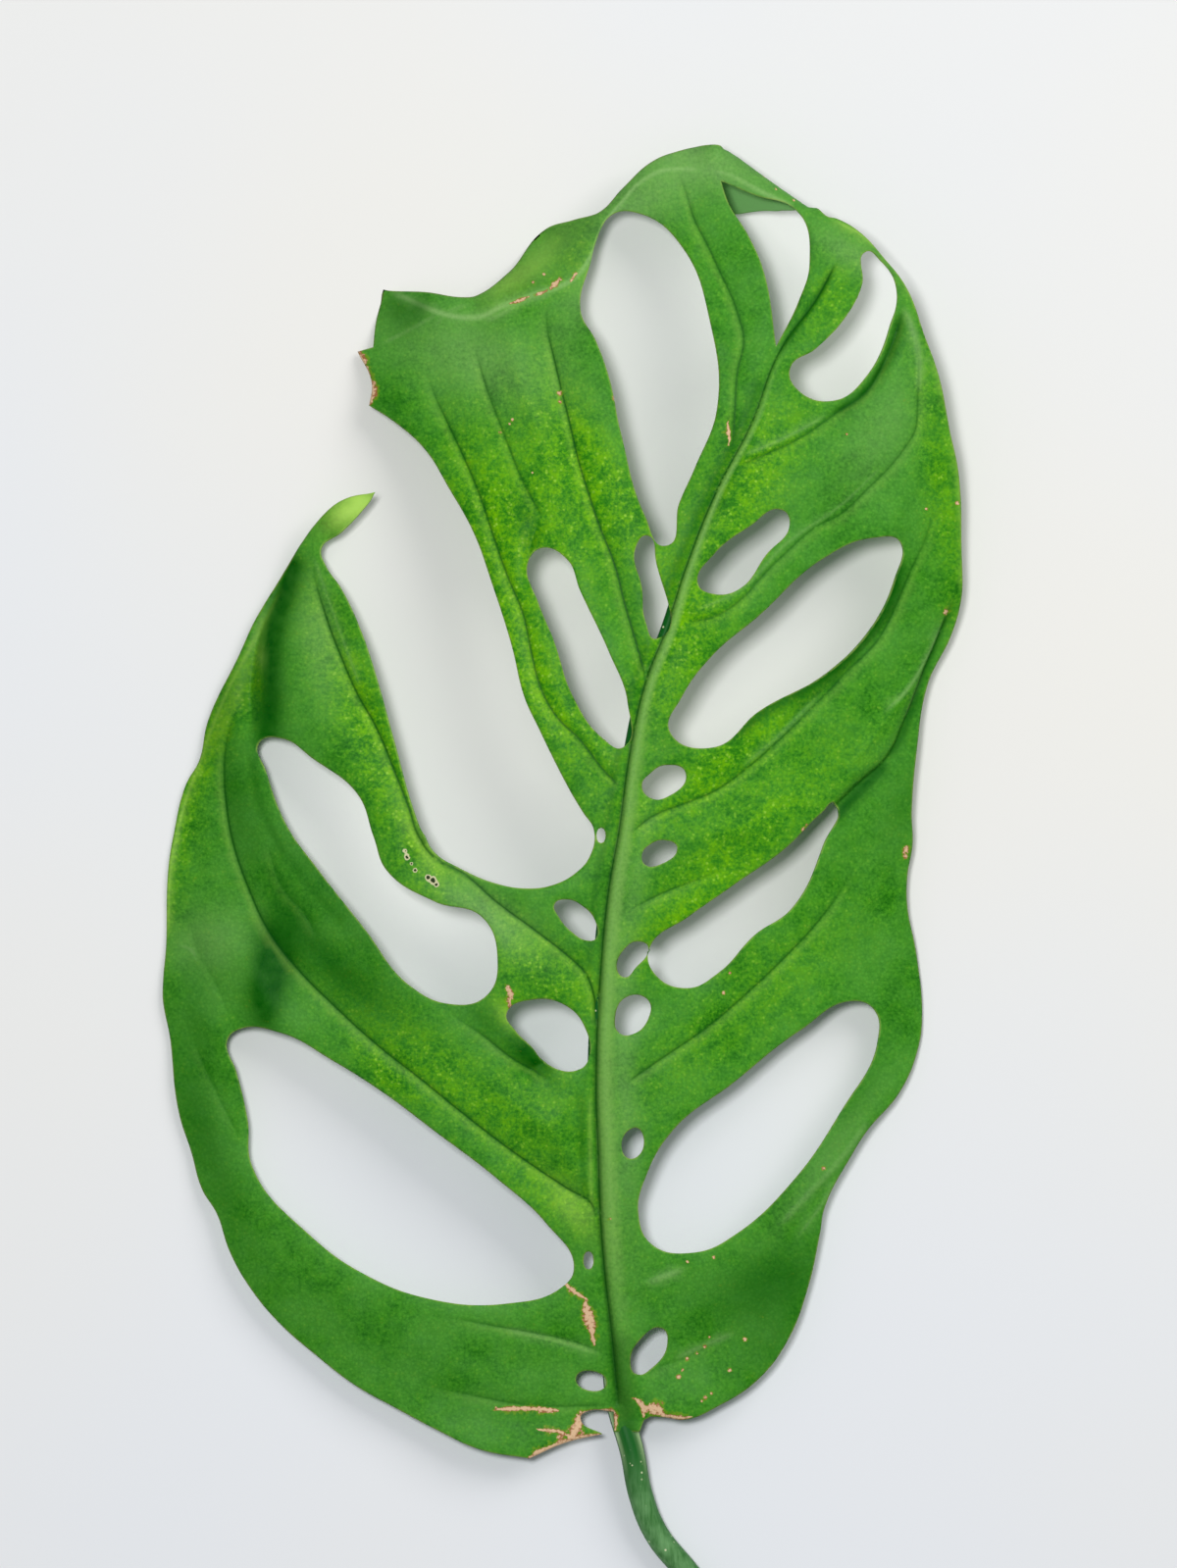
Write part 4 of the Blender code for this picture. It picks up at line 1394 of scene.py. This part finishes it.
    def loops(self) -> list[np.ndarray]:
        """The outline and then the holes, as rows of x and y."""
        margin = LEFT_MARGIN + TORN_GAP + TOP_MARGIN + RIGHT_MARGIN
        lines = [margin, *HOLES.values()]
        return [smooth_line(line, self.edge_step, True) for line in lines]

    def inset(self, loop: np.ndarray) -> np.ndarray:
        """A row of points on each side of an edge; those that aren't on the blade go later.

        Args:
            loop: the edge's points, in order.

        Returns:
            The points as rows of x and y.
        """
        ahead = np.roll(loop, -1, axis=0) - np.roll(loop, 1, axis=0)
        ahead /= np.linalg.norm(ahead, axis=1, keepdims=True)
        across = np.stack([ahead[:, 1], -ahead[:, 0]], axis=-1) * self.rim_inset
        return np.concatenate([loop + across, loop - across])

    def line_rows(self, route: Route, step: float, rows: tuple[float, ...]) -> np.ndarray:
        """Rows of points along a line and to its sides.

        Args:
            route: where the line runs.
            step: how far apart the points lie along it.
            rows: how far to its side each row lies.

        Returns:
            The points as rows of x and y.
        """
        line = smooth_line(route, step, False)
        ahead = np.gradient(line, axis=0)
        ahead /= np.linalg.norm(ahead, axis=1, keepdims=True)
        across = np.stack([-ahead[:, 1], ahead[:, 0]], axis=-1)
        return np.concatenate([line + across * offset for offset in rows])

    def lattice(self, low: np.ndarray, high: np.ndarray) -> np.ndarray:
        """Evenly spread points over a rectangle, each row shifted by half a cell.

        Args:
            low: the rectangle's lowest x and y.
            high: its highest x and y.

        Returns:
            The points as rows of x and y.
        """
        rise = self.cell * math.sqrt(0.75)
        rows = np.arange(low[1], high[1], rise)
        columns = np.arange(low[0], high[0], self.cell)
        x, y = np.meshgrid(columns, rows)
        x[1::2] += 0.5 * self.cell
        return np.stack([x.ravel(), y.ravel()], axis=-1)

    def sheet_points(self, loops: list[np.ndarray]) -> np.ndarray:
        """All points of the flat sheet.

        Args:
            loops: the edges.

        Returns:
            The points as rows of x and y, the edges' first and in order.
        """
        edge = np.concatenate(loops)
        rim = np.concatenate([self.inset(loop) for loop in loops])
        lines = [self.line_rows(line.route, self.vein_step, self.vein_rows) for line in VEINS + FOLDS]
        midrib_rows = self.vein_rows + self.midrib_rows
        lines.append(self.line_rows(MIDRIB, self.vein_step, midrib_rows))
        for streak in STREAKS:
            rows = tuple(share * streak.width for share in (0.0, 0.5, -0.5, 1.0, -1.0))
            lines.append(self.line_rows(streak.route, self.streak_step, rows))
        turns = np.linspace(0.0, 2.0 * math.pi, self.ring_sides, endpoint=False)
        for x, y, size in SPECKS + PITS:
            ring = np.stack([size * np.cos(turns), size * np.sin(turns)], axis=-1)
            lines.append((x, y) + np.concatenate([[[0.0, 0.0]], ring, 2.0 * ring]))
        inner = np.concatenate(lines)
        spread = self.lattice(edge.min(axis=0), edge.max(axis=0))
        groups = [
            (edge, 0.0),
            (rim[inside_loops(rim, loops)], self.rim_room * self.rim_inset),
            (inner[inside_loops(inner, loops)], self.line_room),
            (spread[inside_loops(spread, loops)], self.cell_room * self.cell),
        ]
        return thinned(groups, self.cell)

    def flat_faces(
        self, points: np.ndarray, loops: list[np.ndarray]
    ) -> tuple[np.ndarray, list[list[int]]]:
        """Joins the sheet's points by triangles within its edges.

        Args:
            points: the sheet's points, the edges' first.
            loops: the edges.

        Returns:
            The points and the faces, which face up.
        """
        edges: list[tuple[int, int]] = []
        for loop in loops:
            first, count = len(edges), len(loop)
            edges += [(first + index, first + (index + 1) % count) for index in range(count)]
        result = geometry.delaunay_2d_cdt(points.tolist(), edges, [], 0, self.merge_distance, False)
        joined = np.array([tuple(point) for point in result[0]])
        faces = np.array(result[2])
        middles = joined[faces].mean(axis=1)
        return joined, faces[inside_loops(middles, loops)].tolist()

    def furrow_shape(self, points: np.ndarray, furrow: Furrow) -> tuple[np.ndarray, ...]:
        """What a furrow does at points of the flat blade.

        Args:
            points: rows of x and y.
            furrow: the furrow.

        Returns:
            For each point, how far it lies from the furrow, how deep the furrow is there, and
            how strongly its dark line of painted shade and the painted highlight beside it show.
        """
        line = smooth_line(furrow.route, self.vein_measure, False)
        side, walked, left_over = along_line(points, line)
        away = np.abs(side)
        reach = np.where(side > 0.0, furrow.left, furrow.right)
        fade = smooth_step(walked, -self.furrow_lead * furrow.start, furrow.start)
        fade *= smooth_step(left_over, -self.furrow_tail * furrow.end, furrow.end)
        depth = furrow.depth * fade * np.exp(-((away / reach) ** self.furrow_power))
        shown = np.where((walked <= 0.0) | (left_over <= 0.0), 0.0, furrow.line * fade)
        # Painted shade along the bottom of the groove, and a painted highlight on its lower, lit slope.
        dark = shown * np.exp(-((away / self.line_width) ** 2))
        below = side if furrow.route[-1][0] < furrow.route[0][0] else -side
        light = shown * np.exp(-(((below - self.light_offset) / self.light_width) ** 2))
        return away, depth, dark, light

    def midrib_shape(self, points: np.ndarray) -> tuple[np.ndarray, ...]:
        """What the midrib does at points of the flat blade: its groove, and the band to its right.

        Args:
            points: rows of x and y.

        Returns:
            For each point, how far it lies from the midrib, how far it stands up, and how
            strongly the dark line of painted shade in its groove and the pale band show.
        """
        y = points[:, 1]
        line = smooth_line(MIDRIB, self.vein_measure, False)
        side, _, left_over = along_line(points, line)
        away = np.abs(side)
        full_width = self.band_widths[0][1]
        width = np.interp(y, *np.array(self.band_widths).T)
        across = np.clip(-side, 0.0, None) / width
        crown = np.clip(1.0 - (2.0 * across - 1.0) ** 2, 0.0, None)
        sink = np.exp(-((away / np.where(side < 0.0, self.groove_right, self.groove_left)) ** 2))
        rise = smooth_step(y, *self.tongue_rises)
        fade = np.clip(width / full_width, 0.0, 1.0) * rise
        up = self.band_rise * fade * crown - self.groove * np.sqrt(fade) * sink
        band = self.band_share * (side < 0.0) * (1.0 - smooth_step(across, *self.band_fades))
        band *= smooth_step(left_over, *self.band_end)
        band *= self.band_least + (1.0 - self.band_least) * smooth_step(y, *self.band_start)
        # Painted shade along the midrib's groove.
        dark = np.exp(-((side / (self.midrib_line + self.midrib_growth * width)) ** 2))
        dark *= smooth_step(left_over, 0.0, self.midrib_end) * rise
        return away, up, dark, band

    def relief(
        self, points: np.ndarray, edge_distance: np.ndarray
    ) -> tuple[np.ndarray, dict[str, np.ndarray]]:
        """How the sheet stands off its smooth form.

        Args:
            points: rows of x and y on the flat blade.
            edge_distance: how far each lies from the nearest edge.

        Returns:
            How far each point stands up, and the attributes that the relief gives the mesh.
        """
        x, y = points.T
        vein_distance, up, line, band = self.midrib_shape(points)
        sunk = np.zeros(len(points))
        light = np.zeros(len(points))
        for vein in VEINS:
            away, depth, dark, beside = self.furrow_shape(points, vein)
            sunk += depth
            line = np.maximum(line, dark)
            light = np.maximum(light, beside)
            vein_distance = np.minimum(vein_distance, away)
        for fold in FOLDS:
            _, depth, dark, _ = self.furrow_shape(points, fold)
            sunk += depth
            line = np.maximum(line, dark)
        quilt = self.quilt * (1.0 - np.exp(-((vein_distance / self.quilt_reach) ** 2)))
        curl = self.edge_curl * np.exp(-edge_distance / self.edge_reach)
        waves = np.zeros(len(points))
        for length_across, length_up, start, share in self.wave_lines:
            waves += share * np.sin(x / length_across + y / length_up + start)
        waves *= self.wave * smooth_step(vein_distance, 0.0, self.wave_reach)
        # The vein value paints shade along the grooves, and the light value paints a highlight beside
        # the veins.
        values = {
            "vein": np.clip(line, 0.0, 1.0),
            "band": band,
            "rim": np.exp(-edge_distance / self.rim_reach),
            "light": light * self.light_share,
        }
        return up + quilt - sunk - curl + waves, values

    def marks(self, points: np.ndarray) -> dict[str, np.ndarray]:
        """How strongly each kind of mark shows at points of the flat blade.

        Args:
            points: rows of x and y.

        Returns:
            The values from 0 to 1 under each mark's name.
        """
        values = {mark.value: np.zeros(len(points)) for mark in Mark}
        for patch in PATCHES:
            turn = math.radians(patch.degrees)
            offset = points - (patch.x, patch.y)
            along = (offset[:, 0] * math.cos(turn) + offset[:, 1] * math.sin(turn)) / patch.length
            across = (offset[:, 1] * math.cos(turn) - offset[:, 0] * math.sin(turn)) / patch.width
            values[patch.mark.value] += patch.strength * np.exp(-(along**2 + across**2))
        for streak in STREAKS:
            line = smooth_line(streak.route, self.streak_measure, False)
            side, walked, left_over = along_line(points, line)
            from_end = np.minimum(walked, left_over)
            if streak.mark is Mark.SCAR:
                full = smooth_step(from_end, 0.0, self.scar_ends)
                width = streak.width * (self.scar_tip + (1.0 - self.scar_tip) * full)
                strength = spot(np.abs(side), width)
            else:
                full = smooth_step(from_end, 0.0, self.streak_ends)
                strength = streak.strength * full * np.exp(-((side / streak.width) ** 2))
            values[streak.mark.value] = np.maximum(values[streak.mark.value], strength)
        for mark, spots in ((Mark.SCAR, SPECKS), (Mark.PIT, PITS)):
            for x, y, size in spots:
                strength = spot(np.hypot(points[:, 0] - x, points[:, 1] - y), size)
                values[mark.value] = np.maximum(values[mark.value], strength)
        return {name: np.clip(value, 0.0, 1.0) for name, value in values.items()}

    def build(self) -> bpy.types.Object:
        """Makes the blade.

        Returns:
            The blade's object, still unseated and undressed.
        """
        loops = self.loops()
        flat, faces = self.flat_faces(self.sheet_points(loops), loops)
        edge = np.concatenate(loops)
        edge_distance = np.array([np.min(np.hypot(*(edge - point).T)) for point in flat])
        up, values = self.relief(flat, edge_distance)
        values.update(self.marks(flat))
        blade = mesh_piece("blade", self.form.bent(flat[:, 0], flat[:, 1], up), faces)
        set_vector(blade, "flat", np.column_stack([flat, np.zeros(len(flat))]) * MM)
        for name, value in values.items():
            set_value(blade, name, value)
        wall = blade.modifiers.new("thickness", "SOLIDIFY")
        wall.thickness = self.thickness * MM
        wall.offset = -1.0
        bpy.ops.object.modifier_apply(modifier=wall.name)
        bpy.ops.object.shade_smooth()
        under = np.zeros(len(blade.data.vertices))
        under[len(flat):] = 1.0
        set_value(blade, "under", under)
        return blade

    def dress(self, blade: bpy.types.Object) -> None:
        """Gives the blade its surface."""
        hand_over(blade, self.finish.material())


@dataclass
class Petiole:
    """The cut petiole and the rib that runs on from it under the blade.

    Attributes:
        form: how the blade above it is bent.
        finish: what its surface is like.
        radius: how thick the petiole is.
        tip_radius: how thick the rib's end is.
        taper: how the rib thins along its run.
        sink: how far the rib's top lies below the blade's smooth form, in its own radii.
        groove: how deep the blade's groove over it is, where the rib is thickest.
        sheet: how thick the blade is between that groove and the rib.
        groove_fades: where up the leaf that groove starts and is full.
        route: the petiole's middle from its cut end: x, y and height.
        sides: how finely it is rounded; its round has 4 sides and twice this many more.
        rings: how many rings lie between two points of its route.
        wing_degrees: where on its round the wings stand, from the top.
        wing_spread: how wide a wing is, in degrees.
        wing_height: how far a wing stands out.
        wing_fades: where up the leaf the wings start and are full.
        wing_stop: where up the leaf they end, hidden under the blade.
        wing_pale: how strongly their pale lines show.
        line_step: how far apart the points of its middle line lie in measuring.
        weld_distance: how near to each other two points become one.
        cut_depth: how far from its end a point still belongs to the cut.
        near_fades: where below the blade its darker green starts and is full.
        shade_share: how much of that green is painted down its right side as shade.
        shade_degrees: where on its round that starts and is full, to the right of the top.
        crease_degrees: at what angle between faces its surface has an edge.
    """

    form: BladeForm = field(default_factory=BladeForm)
    finish: PetioleFinish = field(default_factory=PetioleFinish)
    radius: float = 2.75
    tip_radius: float = 0.55
    taper: float = 0.8
    sink: float = 0.1
    groove: float = 0.7
    sheet: float = 0.62
    groove_fades: Range = (0.0, 6.0)
    route: Route = (
        (30.5, -57, 2.75), (21, -44, 2.75), (12.3, -33.5, 3.0), (6, -25.5, 3.6), (2.6, -17, 4.4),
        (0.6, -7, 5.2),
    )
    sides: int = 8
    rings: int = 10
    wing_degrees: float = 54.0
    wing_spread: float = 13.0
    wing_height: float = 0.4
    wing_fades: Range = (-15.0, -3.0)
    wing_stop: float = 12.0
    wing_pale: float = 0.7
    line_step: float = 0.5
    weld_distance: float = 0.01
    cut_depth: float = 0.02
    near_fades: Range = (-22.0, -4.0)
    shade_share: float = 0.4
    shade_degrees: Range = (10.0, 70.0)
    crease_degrees: float = 50.0

    def full_route(self) -> list[tuple[float, float, float, float]]:
        """The middle of the petiole and the rib, with the radius at each point."""
        route = [(x, y, z, self.radius) for x, y, z in self.route]
        for number, point in enumerate(MIDRIB):
            share = number / (len(MIDRIB) - 1)
            radius = self.radius + (self.tip_radius - self.radius) * share**self.taper
            x, y = np.array([float(point[0])]), np.array([float(point[1])])
            groove = self.groove * math.sqrt(radius / self.radius) + self.sheet
            groove *= float(smooth_step(y, *self.groove_fades)[0])
            height = float(self.form.height(x, y)[0]) - radius - max(groove, self.sink * radius)
            route.append((float(point[0]), float(point[1]), height, radius))
        return route

    def build(self) -> bpy.types.Object:
        """Makes the petiole and rib.

        Returns:
            The object, still unseated and undressed.
        """
        bpy.ops.object.select_all(action="DESELECT")
        bpy.ops.curve.primitive_bezier_curve_add()
        rib = bpy.context.object
        rib.name = "petiole_and_rib"
        curve = rib.data
        curve.dimensions = "3D"
        curve.bevel_depth = MM
        curve.bevel_resolution = self.sides
        curve.use_fill_caps = True
        curve.resolution_u = self.rings
        route = self.full_route()
        knots = curve.splines[0].bezier_points
        knots.add(len(route) - len(knots))
        for knot, (x, y, z, radius) in zip(knots, route, strict=True):
            knot.co = (x * MM, y * MM, z * MM)
            knot.radius = radius
            knot.handle_left_type = "AUTO"
            knot.handle_right_type = "AUTO"
        bpy.ops.object.convert(target="MESH")
        rib = bpy.context.object
        rib.data.name = rib.name
        weld = rib.modifiers.new("weld", "WELD")
        weld.merge_threshold = self.weld_distance * MM
        bpy.ops.object.modifier_apply(modifier=weld.name)
        self.shape(rib, route)
        bpy.ops.object.shade_smooth_by_angle(angle=math.radians(self.crease_degrees))
        return rib

    def shape(self, rib: bpy.types.Object, route: list[tuple[float, float, float, float]]) -> None:
        """Raises the wings and marks the pale lines, the darker green near the blade with the painted
        shade down its right side, and the cut end.

        Args:
            rib: the round piece.
            route: its middle line with its radii.
        """
        points = vertex_places(rib)
        line = smooth_line(tuple(point[:2] for point in route), self.line_step, False)
        side, walked, _ = along_line(points[:, :2], line)
        knots_y = [point[1] for point in route]
        middle = np.interp(points[:, 1], knots_y, [point[2] for point in route])
        angle = np.degrees(np.arctan2(side, points[:, 2] - middle))
        wing = np.exp(-(((np.abs(angle) - self.wing_degrees) / self.wing_spread) ** 2))
        wing *= smooth_step(points[:, 1], *self.wing_fades) * (points[:, 1] < self.wing_stop)
        nearest = line[np.clip((walked / self.line_step).astype(int), 0, len(line) - 1)]
        outward = np.column_stack([points[:, :2] - nearest, points[:, 2] - middle])
        outward /= np.maximum(np.linalg.norm(outward, axis=1, keepdims=True), TINY)
        points += outward * (wing[:, None] * self.wing_height)
        near = smooth_step(points[:, 1], *self.near_fades)
        # Painted shade down the right side of the round.
        shaded = self.shade_share * smooth_step(-angle, *self.shade_degrees)
        set_places(rib, points)
        set_vector(rib, "flat", points * MM)
        set_value(rib, "pale", wing * self.wing_pale)
        set_value(rib, "near", np.maximum(near, shaded))
        set_value(rib, "cut", (walked < self.cut_depth).astype(float))

    def dress(self, rib: bpy.types.Object) -> None:
        """Gives the petiole and rib their surface."""
        hand_over(rib, self.finish.material())


def seat(pieces: list[bpy.types.Object]) -> None:
    """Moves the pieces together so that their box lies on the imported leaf's.

    Args:
        pieces: the leaf's pieces, built about the foot of the blade.
    """
    low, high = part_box(NODE)
    places = np.concatenate([vertex_places(piece) for piece in pieces])
    middle = 0.5 * (places.min(axis=0) + places.max(axis=0))
    shift = 0.5 * (np.array(low) + np.array(high)) / MM - middle
    shift[2] = low[2] / MM
    for piece in pieces:
        moved = vertex_places(piece) + shift
        moved[:, 2] = np.maximum(moved[:, 2], low[2] / MM + FLOOR_GAP)
        set_places(piece, moved)
        LOG.info("%s seated, shifted by %s mm", piece.name, np.round(shift, 2))


@dataclass(frozen=True)
class Lamp:
    """A soft square light that shines at the leaf.

    Attributes:
        name: its name.
        place: where it hangs, in metres.
        size: its side, in metres.
        power: its strength, in watts.
        colour: its colour.
    """

    name: str
    place: Place
    size: float
    power: float
    colour: Colour


@dataclass
class Studio:
    """A pale floor, soft light and a camera that looks straight down on the leaf.

    Attributes:
        view_middle: the middle of the view, from the middle of the leaf's box, in millimetres.
        view_height: how much of the floor the view's long side covers, in millimetres.
        leaf_level: the height at which that holds.
        distance: how far above that the camera hangs.
        floor_size: the floor's side, in metres.
        floor_finish: what the floor is like.
        lamps: the lights.
        sky_colour: the colour of the light that comes from all sides.
        sky_strength: how strong it is.
    """

    view_middle: tuple[float, float] = (6.0, 29.2)
    view_height: float = 351.8
    leaf_level: float = 14.0
    distance: float = 2200.0
    floor_size: float = 8.0
    floor_finish: FloorFinish = field(default_factory=FloorFinish)
    lamps: tuple[Lamp, ...] = (
        Lamp("key", (0.9, 0.9, 1.0), 1.0, 14.0, (1.0, 0.98, 0.94)),
        Lamp("overhead", (-0.22, 0.2, 1.88), 0.3, 22.5, (1.0, 1.0, 1.0)),
    )
    sky_colour: Colour = (0.92, 0.96, 1.0)
    sky_strength: float = 0.25

    def camera(self) -> None:
        """Hangs the camera over the leaf, the top of its view towards the blade's top."""
        low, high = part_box(NODE)
        data = bpy.data.cameras.new("camera")
        data.lens = data.sensor_width * self.distance / self.view_height
        camera = bpy.data.objects.new("camera", data)
        camera.location = (
            0.5 * (low[0] + high[0]) + self.view_middle[0] * MM,
            0.5 * (low[1] + high[1]) + self.view_middle[1] * MM,
            (self.leaf_level + self.distance) * MM,
        )
        bpy.context.scene.collection.objects.link(camera)
        bpy.context.scene.camera = camera

    def light(self, lamp: Lamp) -> None:
        """Hangs up one light, turned towards the middle of the floor."""
        data = bpy.data.lights.new(lamp.name, "AREA")
        data.shape = "SQUARE"
        data.size = lamp.size
        data.energy = lamp.power
        data.color = lamp.colour
        light = bpy.data.objects.new(lamp.name, data)
        light.location = lamp.place
        direction = -light.location
        light.rotation_euler = direction.to_track_quat("-Z", "Y").to_euler()
        bpy.context.scene.collection.objects.link(light)

    def ground(self) -> None:
        """Lays the pale floor."""
        bpy.ops.object.select_all(action="DESELECT")
        bpy.ops.mesh.primitive_plane_add(size=self.floor_size)
        floor = bpy.context.object
        floor.name = "floor"
        floor.data.materials.append(self.floor_finish.material())

    def sky(self) -> None:
        """Fills the room with even pale light."""
        world = bpy.data.worlds.new("room")
        world.use_nodes = True
        background = world.node_tree.nodes["Background"]
        background.inputs["Color"].default_value = opaque(self.sky_colour)
        background.inputs["Strength"].default_value = self.sky_strength
        bpy.context.scene.world = world

    def build(self) -> None:
        """Sets up the camera, the floor and the lights."""
        self.camera()
        self.ground()
        self.sky()
        for lamp in self.lamps:
            self.light(lamp)
        bpy.context.scene.view_settings.view_transform = "Standard"


def main() -> None:
    """Builds the studio and the leaf, in order."""
    logging.basicConfig(level=logging.INFO, format="%(name)s: %(message)s")
    Studio().build()
    blade_maker = LeafBlade()
    petiole_maker = Petiole()
    blade = blade_maker.build()
    rib = petiole_maker.build()
    seat([blade, rib])
    blade_maker.dress(blade)
    petiole_maker.dress(rib)


if __name__ == "__main__":
    main()
